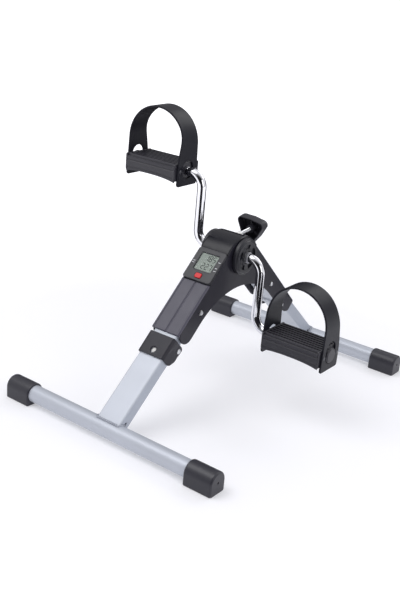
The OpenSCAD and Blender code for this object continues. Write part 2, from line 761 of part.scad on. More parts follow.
main_channel();
dome_shroud();
front_arm_cover();
rear_arm_cover();
front_stub();
rear_stub();
front_bracket();
rear_bracket();
front_hinge_pin();
rear_hinge_pin();
stub_bolts();
stub_nuts();
stub_spacers();
monitor_housing();
display_window();
display_panel();
circuit_board();
battery_cell();
battery_door();
reset_button();
cover_screws();
axle_bushes();
brake_band();
band_pin();
screw_bush();
speed_sensor();
sensor_lead();
axle_tube();
brake_drum();
left_crank();
right_crank();
left_hub_disc();
right_hub_disc();
crank_pins();
sensor_magnet();
tension_screw();
tension_knob();
band_anchor();
left_pedal_body();
left_strap();
left_strap_studs();
left_spindle_cap();
right_pedal_body();
right_strap();
right_strap_studs();
right_spindle_cap();
front_leg_tube();
front_base_tube();
front_weld_bead();
front_left_foot();
front_right_foot();
front_lock_button();
front_lock_spring();
rear_leg_tube();
rear_base_tube();
rear_weld_bead();
rear_left_foot();
rear_right_foot();
rear_lock_button();
rear_lock_spring();
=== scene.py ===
"""Looks of the folding pedal exerciser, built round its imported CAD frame.

Lengths are metres in the frame's own axes: +X along the crank axle, -Y towards the user, +Z up.
"""

import json
import math

import bmesh
import bpy
from mathutils import Matrix, Vector


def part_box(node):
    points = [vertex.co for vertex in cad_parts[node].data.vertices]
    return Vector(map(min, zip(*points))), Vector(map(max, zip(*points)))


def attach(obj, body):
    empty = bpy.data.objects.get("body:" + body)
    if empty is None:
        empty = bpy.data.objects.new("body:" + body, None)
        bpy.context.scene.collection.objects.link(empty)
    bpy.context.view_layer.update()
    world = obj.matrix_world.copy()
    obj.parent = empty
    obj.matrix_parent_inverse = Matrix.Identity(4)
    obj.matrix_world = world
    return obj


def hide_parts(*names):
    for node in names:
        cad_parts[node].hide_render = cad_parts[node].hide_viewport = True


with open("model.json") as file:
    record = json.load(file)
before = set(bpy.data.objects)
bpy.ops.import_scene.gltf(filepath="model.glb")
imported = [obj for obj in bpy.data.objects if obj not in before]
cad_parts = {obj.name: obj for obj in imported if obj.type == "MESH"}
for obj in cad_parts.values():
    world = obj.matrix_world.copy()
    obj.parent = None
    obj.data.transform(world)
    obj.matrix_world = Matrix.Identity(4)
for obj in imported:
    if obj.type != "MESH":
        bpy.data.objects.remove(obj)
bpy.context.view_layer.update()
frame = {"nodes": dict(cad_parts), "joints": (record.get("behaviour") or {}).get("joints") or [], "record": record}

MM = 0.001
MERGE = 1e-6                                  # points closer than this are one point
PI = math.pi
SIDES = {"left": -1, "right": 1}
ENDS = {"front": -1, "rear": 1}
JOINTS = {j["name"]: j for j in frame["joints"]}
AXLE = Vector(JOINTS["crank_spin"]["pos_m"])
SPINDLE = {s: Vector(JOINTS[s + "_pedal_spin"]["pos_m"]) for s in SIDES}
HINGE = {e: Vector(JOINTS[e + "_leg_fold"]["pos_m"]) for e in ENDS}


# ---------------------------------------------------------------- local frames


def press_tilt(joint):
    """Slope of the surface that a button is pressed into, from its axis."""
    axis = JOINTS[joint]["axis"]
    return math.atan2(abs(axis[1]), -axis[2])


ARM_TILT = press_tilt("reset_button_press")
LEG_TILT = press_tilt("front_lock_press")
BASE_TUBE = {e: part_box(e + "_base_tube") for e in ENDS}
BASE = {e: (BASE_TUBE[e][0] + BASE_TUBE[e][1]) / 2 for e in ENDS}


def sloped(origin, end, tilt):
    """Frame whose X is the object's X, Y runs down the slope away from the middle, Z out of it."""
    down = Vector((0, end * math.cos(tilt), -math.sin(tilt)))
    out = Vector((0, end * math.sin(tilt), math.cos(tilt)))
    turn = Matrix((Vector((1, 0, 0)), down, out)).transposed().to_4x4()
    return Matrix.Translation(origin) @ turn


ARM = {e: sloped(Vector((0, 0, 0)), ENDS[e], ARM_TILT) for e in ENDS}
LEG = {e: sloped(Vector((0, BASE[e].y, BASE[e].z)), ENDS[e], LEG_TILT) for e in ENDS}
WORLD = Matrix.Identity(4)


# ---------------------------------------------------------------- mesh helpers


def link(name, mesh):
    obj = bpy.data.objects.new(name, mesh)
    bpy.context.scene.collection.objects.link(obj)
    return obj


def from_bmesh(name, bm, matrix=WORLD):
    bmesh.ops.transform(bm, matrix=matrix, verts=bm.verts)
    bmesh.ops.recalc_face_normals(bm, faces=bm.faces)
    mesh = bpy.data.meshes.new(name)
    bm.to_mesh(mesh)
    bm.free()
    return link(name, mesh)


def applied(obj):
    """Replaces an object's data by its evaluated mesh, so that no modifier is left."""
    graph = bpy.context.evaluated_depsgraph_get()
    mesh = bpy.data.meshes.new_from_object(obj.evaluated_get(graph))
    mesh.transform(obj.matrix_world)
    name = obj.name
    bpy.data.objects.remove(obj)
    mesh.name = name
    return link(name, mesh)


def smooth(obj, angle=35):
    """Smooth shading with sharp creases, and normals weighted by face area."""
    obj.data.shade_smooth()
    obj.data.set_sharp_from_angle(angle=math.radians(angle))
    weighted = obj.modifiers.new("weighted", "WEIGHTED_NORMAL")
    weighted.keep_sharp = True
    return obj


def cut(obj, *tools):
    """Subtracts the tool meshes from obj and removes them."""
    for tool in tools:
        boolean = obj.modifiers.new("cut", "BOOLEAN")
        boolean.operation = "DIFFERENCE"
        boolean.object = tool
        boolean.solver = "EXACT"
    obj = applied(obj)
    for tool in tools:
        bpy.data.objects.remove(tool)
    return obj


def joined(name, parts):
    """One object holding the meshes of all parts, each with its own material kept."""
    bm = bmesh.new()
    materials = []
    for part in parts:
        start = len(bm.faces)
        part.data.transform(part.matrix_world)
        bm.from_mesh(part.data)
        bm.faces.ensure_lookup_table()
        slots = [m for m in part.data.materials] or [None]
        for face in bm.faces[start:]:
            mat = slots[min(face.material_index, len(slots) - 1)]
            if mat not in materials:
                materials.append(mat)
            face.material_index = materials.index(mat)
    mesh = bpy.data.meshes.new(name)
    bm.to_mesh(mesh)
    bm.free()
    for mat in materials:
        if mat is not None:
            mesh.materials.append(mat)
    for part in parts:
        bpy.data.objects.remove(part)
    return link(name, mesh)


def mm(*pairs, at=(0, 0)):
    """Points given in millimetres from a spot that is given in metres."""
    return [(at[0] + a * MM, at[1] + b * MM) for a, b in pairs]


def arc(cx, cy, r, start, stop, steps=12):
    """Points on an arc, angles in degrees, both ends included."""
    turns = [math.radians(start + (stop - start) * i / steps) for i in range(steps + 1)]
    return [(cx + r * math.cos(a), cy + r * math.sin(a)) for a in turns]


def rounded_outline(points, radius, steps=5):
    """A closed outline with every corner rounded to radius, or to its own radius from a list."""
    radii = radius if isinstance(radius, (list, tuple)) else [radius] * len(points)
    out = []
    for i, corner in enumerate(points):
        here = Vector(corner)
        before, after = Vector(points[i - 1]), Vector(points[(i + 1) % len(points)])
        to_before, to_after = (before - here), (after - here)
        half = to_before.angle(to_after) / 2
        r = radii[i]
        if r <= 0 or abs(half - PI / 2) < 1e-3:
            out.append(tuple(here))
            continue
        reach = min(r / math.tan(half), 0.49 * to_before.length, 0.49 * to_after.length)
        r = reach * math.tan(half)
        a, b = here + to_before.normalized() * reach, here + to_after.normalized() * reach
        centre = here + (to_before.normalized() + to_after.normalized()).normalized() * (
            r / math.sin(half)
        )
        va, vb = a - centre, b - centre
        sweep = va.angle_signed(vb)
        for k in range(steps + 1):
            turn = Matrix.Rotation(-sweep * k / steps, 2)
            out.append(tuple(centre + turn @ va))
    return out


def rectangle(w, h, r=0, cx=0, cy=0, steps=5):
    corners = [(cx - w / 2, cy - h / 2), (cx + w / 2, cy - h / 2), (cx + w / 2, cy + h / 2)]
    corners.append((cx - w / 2, cy + h / 2))
    return rounded_outline(corners, r, steps) if r else corners


def circle(r, cx=0, cy=0, steps=48):
    return arc(cx, cy, r, 0, 360, steps)[:-1]


def cleaned(obj, merge=0.0):
    """Points every face outward, after joining points that lie closer than merge."""
    bm = bmesh.new()
    bm.from_mesh(obj.data)
    if merge:
        bmesh.ops.remove_doubles(bm, verts=bm.verts, dist=merge)
    bmesh.ops.recalc_face_normals(bm, faces=bm.faces)
    bm.to_mesh(obj.data)
    bm.free()
    return obj


def plate(name, outlines, low, high, matrix, round_edge=0.0004, steps=2):
    """A flat plate between heights low and high of a frame, outlines[0] with holes outlines[1:]."""
    curve = bpy.data.curves.new(name, "CURVE")
    curve.dimensions = "2D"
    curve.fill_mode = "BOTH"
    curve.extrude = (high - low) / 2 - round_edge
    curve.bevel_depth = round_edge
    curve.bevel_resolution = steps
    curve.offset = -round_edge
    for outline in outlines:
        spline = curve.splines.new("POLY")
        spline.points.add(len(outline) - 1)
        for point, (x, y) in zip(spline.points, outline):
            point.co = (x, y, 0, 1)
        spline.use_cyclic_u = True
    obj = link(name, curve)
    obj.matrix_world = matrix @ Matrix.Translation((0, 0, (low + high) / 2))
    bpy.context.view_layer.update()
    return cleaned(applied(obj), MERGE)


def loft(name, rings, matrix=WORLD, caps=True, closed=True):
    """A skin over rings of 3D points, all of the same length.

    caps closes both ends; when the last ring is the first one again, the skin closes into a loop.
    """
    bm = bmesh.new()
    looped = rings[-1] is rings[0]
    rows = [[bm.verts.new(p) for p in ring] for ring in (rings[:-1] if looped else rings)]
    if looped:
        rows.append(rows[0])
    n = len(rows[0])
    span = n if closed else n - 1
    for low, high in zip(rows, rows[1:]):
        for i in range(span):
            k = (i + 1) % n
            bm.faces.new((low[i], low[k], high[k], high[i]))
    if caps:
        bm.faces.new(list(reversed(rows[0])))
        bm.faces.new(rows[-1])
    return from_bmesh(name, bm, matrix)


def lathe(name, profile, matrix, steps=64):
    """A turned part: profile is (radius, height) pairs, turned round the frame's Z.

    A profile that doesn't begin and end on the axis is closed into a ring.
    """
    bm = bmesh.new()
    rows = []
    for r, z in profile:
        if r < 1e-7:
            rows.append([bm.verts.new((0, 0, z))])
            continue
        ring = [2 * PI * i / steps for i in range(steps)]
        rows.append([bm.verts.new((r * math.cos(a), r * math.sin(a), z)) for a in ring])
    if len(rows[0]) > 1:
        rows.append(rows[0])
    for low, high in zip(rows, rows[1:]):
        for i in range(steps):
            k = (i + 1) % steps
            if len(low) == 1 and len(high) == 1:
                continue
            if len(low) == 1:
                bm.faces.new((low[0], high[k], high[i]))
            elif len(high) == 1:
                bm.faces.new((low[i], low[k], high[0]))
            else:
                bm.faces.new((low[i], low[k], high[k], high[i]))
    return from_bmesh(name, bm, matrix)


def turned_edges(profile, radius, steps=3):
    """A lathe profile with every corner rounded, apart from its two ends."""
    out = [profile[0]]
    for before, here, after in zip(profile, profile[1:], profile[2:]):
        a, h, b = Vector(before), Vector(here), Vector(after)
        ta, tb = a - h, b - h
        if min(ta.length, tb.length) < 1e-7 or abs(ta.angle(tb) - PI) < 0.05:
            out.append(here)
            continue
        reach = min(radius, 0.45 * ta.length, 0.45 * tb.length)
        pa, pb = h + ta.normalized() * reach, h + tb.normalized() * reach
        for k in range(steps + 1):
            t = k / steps
            point = pa * (1 - t) ** 2 + h * 2 * t * (1 - t) + pb * t * t
            out.append(tuple(point))
    out.append(profile[-1])
    return out


def tube_along(name, path, radius, steps=32):
    """A round bar along a list of points, with flat ends."""
    rings = []
    for i, point in enumerate(path):
        ahead = Vector(path[min(i + 1, len(path) - 1)]) - Vector(path[max(i - 1, 0)])
        ahead.normalize()
        side = ahead.cross(Vector((0, 1, 0))).normalized()
        up = side.cross(ahead)
        turns = [2 * PI * k / steps for k in range(steps)]
        rings.append([Vector(point) + radius * (math.cos(a) * side + math.sin(a) * up) for a in turns])
    return loft(name, rings)


def cylinder(name, r, low, high, matrix, steps=48):
    return lathe(name, [(0, low), (r, low), (r, high), (0, high)], matrix, steps)


def sliced(obj, axis, places):
    """Cuts edges across a mesh at the given places along an axis, so that it can be bent."""
    bm = bmesh.new()
    bm.from_mesh(obj.data)
    for place in places:
        point, normal = Vector((0, 0, 0)), Vector((0, 0, 0))
        point[axis], normal[axis] = place, 1
        everything = bm.verts[:] + bm.edges[:] + bm.faces[:]
        bmesh.ops.bisect_plane(bm, geom=everything, dist=1e-7, plane_co=point, plane_no=normal)
    bm.to_mesh(obj.data)
    bm.free()
    return obj


def bent(obj, mapping):
    """Moves every point of a mesh by a function of its position."""
    for v in obj.data.vertices:
        v.co = mapping(v.co)
    obj.data.update()
    return obj


def spread(low, high, steps):
    return [low + (high - low) * i / steps for i in range(steps + 1)]


def finish_piece(obj, body, slot, *nodes, paint=None, angle=35, shade=True):
    """Material, shading, body and the CAD nodes that a piece stands for.

    The material is paint, else what the piece already has, else its slot's own.
    """
    if paint or not any(obj.data.materials):
        obj.data.materials.clear()
        obj.data.materials.append(paint or MATERIALS[slot])
    if shade:
        smooth(obj, angle)
        obj = applied(obj)
    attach(obj, body)
    if nodes:
        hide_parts(*nodes)
    return obj


# ---------------------------------------------------------------- materials


class Nodes:
    """Short names for adding nodes to a node tree and linking them."""

    def __init__(self, tree):
        self.tree = tree
        self.place = self.node("TexCoord")

    def link(self, source, target):
        self.tree.links.new(source, target)

    def node(self, kind, inputs=None, **settings):
        """A new node with the values of some of its inputs and its settings."""
        made = self.tree.nodes.new("ShaderNode" + kind)
        for key, value in settings.items():
            setattr(made, key, value)
        for key, value in (inputs or {}).items():
            made.inputs[key].default_value = value
        return made


class Shader(Nodes):
    """Nodes of one new material, with named values set on its surface."""

    def __init__(self, name, **values):
        self.material = bpy.data.materials.new(name)
        self.material.use_nodes = True
        super().__init__(self.material.node_tree)
        self.surface = self.tree.nodes["Principled BSDF"]
        for socket, value in values.items():
            self.surface.inputs[socket.replace("_", " ")].default_value = value

    def noise(self, scale, detail=3.0, roughness=0.5, stretch=(1, 1, 1)):
        scaled = self.node("Mapping", {"Scale": stretch})
        self.link(self.place.outputs["Object"], scaled.inputs["Vector"])
        noise = self.node("TexNoise", {"Scale": scale, "Detail": detail, "Roughness": roughness})
        self.link(scaled.outputs["Vector"], noise.inputs["Vector"])
        return noise.outputs["Fac"]

    def remap(self, value, low, high, from_low=0.0, from_high=1.0):
        ends = {"From Min": from_low, "From Max": from_high, "To Min": low, "To Max": high}
        ramp = self.node("MapRange", ends)
        self.link(value, ramp.inputs["Value"])
        return ramp.outputs["Result"]

    def mix(self, factor, first, second):
        mix = self.node("Mix", data_type="RGBA")
        for socket, value in (("A", first), ("B", second)):
            target = [s for s in mix.inputs if s.name == socket and s.type == "RGBA"][0]
            if isinstance(value, tuple):
                target.default_value = (*value, 1)
            else:
                self.link(value, target)
        self.link(factor, mix.inputs["Factor"])
        return [s for s in mix.outputs if s.type == "RGBA"][0]

    def bump(self, *layers):
        """Each layer is (height, strength, distance in metres)."""
        normal = None
        for height, strength, distance in layers:
            bump = self.node("Bump", {"Strength": strength, "Distance": distance})
            self.link(height, bump.inputs["Height"])
            if normal is not None:
                self.link(normal, bump.inputs["Normal"])
            normal = bump.outputs["Normal"]
        self.link(normal, self.surface.inputs["Normal"])

    def colour(self, value):
        self.link(value, self.surface.inputs["Base Color"])

    def rough(self, value):
        self.link(value, self.surface.inputs["Roughness"])


def varied(shader, base, spread_by, scale=14):
    """Colour that drifts slightly over the surface, from darker to lighter."""
    dark = tuple(c * (1 - spread_by) for c in base)
    light = tuple(min(1, c * (1 + spread_by)) for c in base)
    factor = shader.remap(shader.noise(scale, 4), 0, 1, 0.3, 0.7)
    return shader.mix(factor, dark, light)


def edge_wear_and_highlight(shader, strength=1.0):
    """Where the surface turns sharply outward: lighter edges, standing for worn edges and, where set strong, a
    painted edge highlight.
    """
    point = shader.node("NewGeometry").outputs["Pointiness"]
    return shader.remap(point, 0, strength, 0.52, 0.6)


def painted_metal(name, base, rough=0.4, metallic=0.0, wear_and_highlight=(0.5, 0.5, 0.52), flake=0.0, gloss=0.5):
    """Sprayed enamel: orange-peel bump, slight drift in colour, faintly worn edges."""
    shader = Shader(name, Metallic=metallic, Specular_IOR_Level=gloss)
    colour = varied(shader, base, 0.06)
    if flake:
        sparkle = shader.remap(shader.noise(5200, 0), 0, flake, 0.55, 0.8)
        colour = shader.mix(sparkle, colour, tuple(min(1, c * 1.4) for c in base))
    worn = shader.mix(edge_wear_and_highlight(shader, 0.35), colour, wear_and_highlight)
    shader.colour(worn)
    shader.rough(shader.remap(shader.noise(60, 5), rough - 0.05, rough + 0.07))
    shader.bump((shader.noise(900, 2), 0.12, 0.0002), (shader.noise(3500, 1), 0.06, 0.0001))
    return shader.material


def moulded_plastic(name, base, rough=0.45, grain=0.3, grain_scale=2600, wear_and_highlight=0.25, gloss=0.35):
    """Moulded plastic with a fine spark-eroded texture and paler edges: worn on most parts, and a painted
    highlight along the bead crests where the edge setting is strong, as on the arm covers.
    """
    shader = Shader(name, Specular_IOR_Level=gloss)
    colour = varied(shader, base, 0.08)
    pale = tuple(min(1, c * 1.8 + 0.015) for c in base)
    shader.colour(shader.mix(edge_wear_and_highlight(shader, wear_and_highlight), colour, pale))
    shader.rough(shader.remap(shader.noise(45, 5), rough - 0.06, rough + 0.08))
    shader.bump((shader.noise(grain_scale, 2), grain, 0.00015), (shader.noise(120, 3), 0.05, 0.0005))
    return shader.material


def chrome_plate(name):
    """Bright chrome with the faint swirl of polishing."""
    shader = Shader(name, Metallic=1.0)
    shader.colour(varied(shader, (0.78, 0.78, 0.81), 0.03, 8))
    shader.rough(shader.remap(shader.noise(220, 6), 0.03, 0.10))
    shader.bump((shader.noise(1400, 3, stretch=(1, 1, 0.15)), 0.03, 0.0001))
    return shader.material


def zinc_plate(name, base=(0.70, 0.71, 0.73), rough=0.28):
    """Zinc-plated steel: cloudy, slightly brushed."""
    shader = Shader(name, Metallic=1.0)
    shader.colour(varied(shader, base, 0.12, 90))
    shader.rough(shader.remap(shader.noise(300, 4), rough - 0.06, rough + 0.12))
    shader.bump((shader.noise(1800, 2, stretch=(1, 6, 1)), 0.08, 0.0001))
    return shader.material


def clear_lens(name):
    """Thin clear window, mostly seen by its gloss."""
    shader = Shader(name, Specular_IOR_Level=0.25, Alpha=0.07)
    shader.colour(varied(shader, (0.10, 0.12, 0.11), 0.05))
    shader.rough(shader.remap(shader.noise(80, 3), 0.05, 0.12))
    shader.bump((shader.noise(60, 2), 0.01, 0.0002))
    return shader.material


def display_grey(name):
    """Reflective liquid-crystal backing, slightly pearly."""
    shader = Shader(name, Metallic=0.1, Specular_IOR_Level=0.3)
    shader.colour(varied(shader, (0.29, 0.335, 0.295), 0.05, 60))
    shader.rough(shader.remap(shader.noise(500, 3), 0.3, 0.42))
    shader.bump((shader.noise(4000, 1), 0.05, 0.00005))
    return shader.material


SILVER = (0.38, 0.41, 0.47)
BLACK = (0.0155, 0.0145, 0.022)
MATERIALS = {
    "frame_enamel": painted_metal("frame_enamel", BLACK, 0.38, wear_and_highlight=(0.06, 0.06, 0.07), gloss=0.32),
    # The arm covers' strong edge setting paints a highlight line along their bead crests.
    "cover_plastic": moulded_plastic("cover_plastic", (0.062, 0.059, 0.082), 0.4, wear_and_highlight=0.9, gloss=0.5),
    "dome_plastic": moulded_plastic("dome_plastic", (0.005, 0.005, 0.009), 0.22, 0.05, gloss=0.28),
    "silver_enamel": painted_metal("silver_enamel", SILVER, 0.4, 0.25, (0.72, 0.74, 0.78), 0.25),
    "chrome_rod": chrome_plate("chrome_rod"),
    "zinc_steel": zinc_plate("zinc_steel"),
    "nylon": moulded_plastic("nylon", (0.80, 0.79, 0.76), 0.4, 0.1, wear_and_highlight=0.0),
    "display_lens": clear_lens("display_lens"),
    "display_glass": display_grey("display_glass"),
    "board": moulded_plastic("board", (0.02, 0.12, 0.05), 0.4, 0.2),
    "cell": moulded_plastic("cell", (0.06, 0.12, 0.35), 0.3, 0.05),
    "red_plastic": moulded_plastic("red_plastic", (0.62, 0.028, 0.032), 0.35, 0.12, wear_and_highlight=0.1),
    "pedal_plastic": moulded_plastic("pedal_plastic", (0.020, 0.019, 0.026), 0.36, 0.3, gloss=0.45),
    "strap_rubber": moulded_plastic("strap_rubber", (0.008, 0.008, 0.013), 0.38, 0.2, 1800, gloss=0.2),
    "foot_rubber": moulded_plastic("foot_rubber", (0.020, 0.0195, 0.028), 0.38, 0.3, 1500, gloss=0.5),
    "knob_plastic": moulded_plastic("knob_plastic", (0.018, 0.0175, 0.024), 0.42, 0.25, gloss=0.4),
    "felt_band": moulded_plastic("felt_band", (0.10, 0.09, 0.08), 0.9, 0.9, 700),
    "cable_jacket": moulded_plastic("cable_jacket", (0.02, 0.02, 0.02), 0.5, 0.2),
    "hub_plastic": moulded_plastic("hub_plastic", (0.012, 0.012, 0.017), 0.33, 0.2, gloss=0.45),
}
MONITOR_BLACK = moulded_plastic("monitor_black", (0.017, 0.017, 0.022), 0.34, 0.12, gloss=0.45)
WELD = painted_metal("weld_enamel", (0.30, 0.32, 0.37), 0.34, 0.3, (0.6, 0.62, 0.66))
COLLAR_STEEL = zinc_plate("collar_steel", (0.30, 0.30, 0.32), 0.32)
STUD_STEEL = zinc_plate("stud_steel", (0.10, 0.10, 0.11), 0.42)
MARK_WHITE = moulded_plastic("mark_white", (0.75, 0.76, 0.78), 0.5, 0.1, wear_and_highlight=0.0)
DIGIT_DARK = moulded_plastic("digit_dark", (0.008, 0.014, 0.010), 0.35, 0.05, wear_and_highlight=0.0)
NODE_SLOT = {s["node"]: s["material_slot"] for s in frame["record"]["subparts"]}


def dress_cad_nodes():
    """Every CAD node gets its slot's material; pieces below then stand for most of the visible ones."""
    for name, node in frame["nodes"].items():
        node.data.materials.clear()
        node.data.materials.append(MATERIALS[NODE_SLOT[name]])


# ---------------------------------------------------------------- sizes


def local_box(node, matrix):
    """A CAD node's lowest and highest corner in a local frame."""
    inverse = matrix.inverted()
    points = [inverse @ v.co for v in frame["nodes"][node].data.vertices]
    low = Vector([min(p[i] for p in points) for i in range(3)])
    high = Vector([max(p[i] for p in points) for i in range(3)])
    return low, high


def side_on(matrix):
    """The same frame, with a profile's two axes running down the slope and outward."""
    turn = Matrix(((0, 0, 1), (1, 0, 0), (0, 1, 0))).to_4x4()
    return matrix @ turn


def x_facing(side, origin=(0, 0, 0)):
    """Frame for a profile drawn in Y and Z, with heights measured outward along X on that side."""
    turn = Matrix(((0, 0, side), (1, 0, 0), (0, 1, 0))).to_4x4()
    return Matrix.Translation(Vector(origin)) @ turn


HALF_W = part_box("main_channel")[1].x          # half the channel's width
PLATE_T = 2 * MM
ARM_DEPTH = 31.5 * MM
ARCH_R = 134 * MM
SHEET_TOP = 191 * MM                          # outside of the channel's top web, along d
COVER_TOP = 193 * MM
ARM_IN = COVER_TOP - ARM_DEPTH
ARCH_Z = (ARM_IN - ARCH_R) / math.cos(ARM_TILT)
DOME_R = 45 * MM
DOME_Z = 205 * MM
ARM_TOP_S = -130 * MM
MONITOR = local_box("monitor_housing", ARM["front"])
LEG_W = 41 * MM
LEG_H = 20 * MM
LEG_EDGE = 2.4 * MM                           # rounding of the leg tube's long edges
LEG_BOX = local_box("front_leg_tube", LEG["front"])
TUBE_R = 12.7 * MM
ROD_R = 7 * MM
HUB_R = (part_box("right_hub_disc")[1].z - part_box("right_hub_disc")[0].z) / 2


# ---------------------------------------------------------------- legs and feet


def tombstone(width, foot, inset):
    """Section of a foot cap about the tube's centre: flat sole, upright sides, round top."""
    half = width / 2 - inset
    low = -foot + inset * 0.25
    corner = 2.2 * MM
    points = arc(-half + corner, low + corner, corner, 180, 270, 5)
    points += arc(half - corner, low + corner, corner, 270, 360, 5)
    points += arc(0, 0, half, 0, 180, 28)
    return points


def make_foot(end, side):
    """Foot cap with rolled rims and a small hole in its outer face."""
    node = f"{end}_{side}_foot"
    low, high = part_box(node)
    sign = SIDES[side]
    inner, outer = sorted((abs(low.x), abs(high.x)))
    width = high.y - low.y
    foot = BASE[end].z - low.z
    stations = [(inner, 1.4), (inner + 0.3 * MM, 0.7), (inner + 1.2 * MM, 0.15)]
    stations += [(inner + 2.4 * MM, 0), (outer - 3.0 * MM, 0), (outer - 1.6 * MM, 0.35)]
    stations += [(outer - 0.6 * MM, 1.1), (outer - 0.12 * MM, 2.0), (outer, 3.0)]
    rings = []
    for x, inset in stations:
        ring = tombstone(width, foot, inset * MM)
        rings.append([(sign * x, BASE[end].y + y, BASE[end].z + z) for y, z in ring])
    foot_cap = loft(node + "_cap", rings)
    place = x_facing(sign, (0, BASE[end].y, BASE[end].z))
    hole = cylinder("hole", 1.7 * MM, outer - 3 * MM, outer + 2 * MM, place, 24)
    foot_cap = cut(foot_cap, hole)
    finish_piece(foot_cap, end + "_leg", "foot_rubber", node)


def make_base_tube(end):
    reach = BASE_TUBE[end][1].x
    profile = [(0, -reach), (TUBE_R, -reach), (TUBE_R, reach), (0, reach)]
    tube = lathe(end + "_base_bar", profile, x_facing(1, (0, BASE[end].y, BASE[end].z)), 96)
    finish_piece(tube, end + "_leg", "silver_enamel", end + "_base_tube")


def make_leg_tube(end):
    """Flat tube with rounded edges; its foot runs into the base tube, its head carries the barrel."""
    half = LEG_W / 2
    top, foot = LEG_BOX[0].y, -3 * MM
    outline = rectangle(foot - top, LEG_H, 0, (foot + top) / 2, 0)
    tube = plate("tube", [outline], -half, half, side_on(LEG[end]), LEG_EDGE, 4)
    slot_place = side_on(LEG[end]) @ Matrix.Translation((-16.5 * MM, 0, 0))
    slot_outline = rectangle(5.6 * MM, 4.0 * MM, 1.9 * MM)
    slot = plate("slot", [slot_outline], half - 16 * MM, half + 2 * MM, slot_place, 0.1 * MM)
    tube = cut(tube, slot)
    bore, wall, reach = 3.06 * MM, 4.5 * MM, half - 0.3 * MM
    profile = [(bore, -reach), (wall, -reach), (wall, reach), (bore, reach)]
    barrel = lathe("barrel", profile, x_facing(1, HINGE[end]))
    leg = joined(end + "_leg_bar", [tube, barrel])
    finish_piece(leg, end + "_leg", "silver_enamel", end + "_leg_tube")


def make_weld(end):
    """Rippled bead where the leg meets the base tube."""
    outline = rectangle(LEG_W + 1.2 * MM, LEG_H + 1.2 * MM, 3 * MM, 0, 0, 6)
    dense = []
    for (x0, h0), (x1, h1) in zip(outline, outline[1:] + outline[:1]):
        steps = max(1, int(math.hypot(x1 - x0, h1 - h0) / (0.7 * MM)))
        dense += [(x0 + (x1 - x0) * k / steps, h0 + (h1 - h0) * k / steps) for k in range(steps)]
    rings = []
    for i, (x, h) in enumerate(dense):
        nx, nh = dense[(i + 1) % len(dense)]
        px, ph = dense[i - 1]
        depth = math.sqrt(max(0, TUBE_R**2 - h * h))
        ahead = Vector((nx - px, 0, nh - ph)).normalized()
        side = Vector((0, 1, 0))
        out = ahead.cross(side)
        size = (2.0 + 0.4 * math.sin(i * 1.3) + 0.2 * math.sin(i * 2.9)) * MM
        centre = Vector((x, -depth - 0.2 * MM, h))
        turns = [2 * PI * k / 10 for k in range(10)]
        rings.append([centre + size * (math.cos(a) * side + math.sin(a) * out) for a in turns])
    rings.append(rings[0])
    bead = loft(end + "_weld", rings, LEG[end], caps=False)
    finish_piece(bead, end + "_leg", "silver_enamel", end + "_weld_bead", paint=WELD, angle=80)


BRACKET = local_box("front_bracket", ARM["front"])
BRACKET_PIN = ARM["front"].inverted() @ HINGE["front"]


def make_bracket(end):
    """Pressed bracket: a flat blank with two round ears, bent down over the tube."""
    wall = 2.5 * MM
    bend = 3.4 * MM                               # bend radius at mid-thickness
    start, stop = BRACKET[0].y, BRACKET[1].y
    mid_half = BRACKET[1].x - wall / 2
    flat_half = mid_half - bend
    mid_top = BRACKET[1].z - wall / 2
    turn_l = bend * PI / 2
    fold_d = mid_top - bend                       # where the ear hangs straight down

    def depth_of(d):
        """Place on the flat blank, measured round the bend, of a height on the ear."""
        return flat_half + turn_l + (fold_d - d)

    ear_bottom = depth_of(BRACKET[0].z)
    lobe_r = 7.8 * MM
    ear = [(stop, flat_half)]
    ear += arc(stop - 8 * MM, depth_of(176 * MM), 8 * MM, 0, 50, 6)
    ear += arc(37.5 * MM, depth_of(181.5 * MM), 17 * MM, 62, 100, 8)
    ear += arc(BRACKET_PIN.y, depth_of(BRACKET_PIN.z), lobe_r, 92, 175, 8)
    ear += [(start, depth_of(180 * MM)), (start, flat_half)]
    ear = [(s, min(v, ear_bottom)) for s, v in ear]
    other = [(s, -v) for s, v in reversed(ear)]
    blank = rounded_outline(ear + other, 1.2 * MM, 2)
    button_hole = circle(4.6 * MM, 44.5 * MM, 0, 40)
    place = Matrix(((0, 1, 0), (1, 0, 0), (0, 0, 1))).to_4x4()
    sheet = plate("blank", [blank, button_hole], -wall / 2, wall / 2, place, 0.8 * MM, 2)
    round_bend = [flat_half + turn_l * k / 8 for k in range(-1, 10)]
    down_ear = spread(round_bend[-1], ear_bottom, 12)[1:-1]
    sheet = sliced(sheet, 0, [side * v for side in (-1, 1) for v in round_bend + down_ear])
    sheet = sliced(sheet, 1, spread(start, stop, 18)[1:-1])

    def fold(p):
        v, side = abs(p.x), math.copysign(1, p.x)
        if v <= flat_half:
            return Vector((p.x, p.y, mid_top + p.z))
        angle = min(v - flat_half, turn_l) / bend
        drop = max(0, v - flat_half - turn_l)
        reach = bend + p.z
        x = flat_half + reach * math.sin(angle)
        z = mid_top - bend + reach * math.cos(angle) - drop
        return Vector((side * x, p.y, z))

    sheet = bent(sheet, fold)
    sheet.data.transform(ARM[end])
    cleaned(sheet)
    sheet.name = end + "_fold_bracket"
    finish_piece(sheet, "frame", "frame_enamel", end + "_bracket", angle=18)


def make_hinge_pin(end):
    """Rivet with a domed head on each ear."""
    shank, head_r = 3 * MM, 3.9 * MM
    ear = BRACKET[1].x
    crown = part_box(end + "_hinge_pin")[1].x - ear
    head = [(0, 0), (shank, 0), (shank, ear), (head_r, ear)]
    head += [(head_r * math.cos(a), ear + crown * math.sin(a)) for a in spread(0.15, PI / 2, 7)]
    parts = [lathe("head", head, x_facing(side, HINGE[end]), 40) for side in (-1, 1)]
    pin = joined(end + "_rivet", parts)
    finish_piece(pin, "frame", "zinc_steel", end + "_hinge_pin")


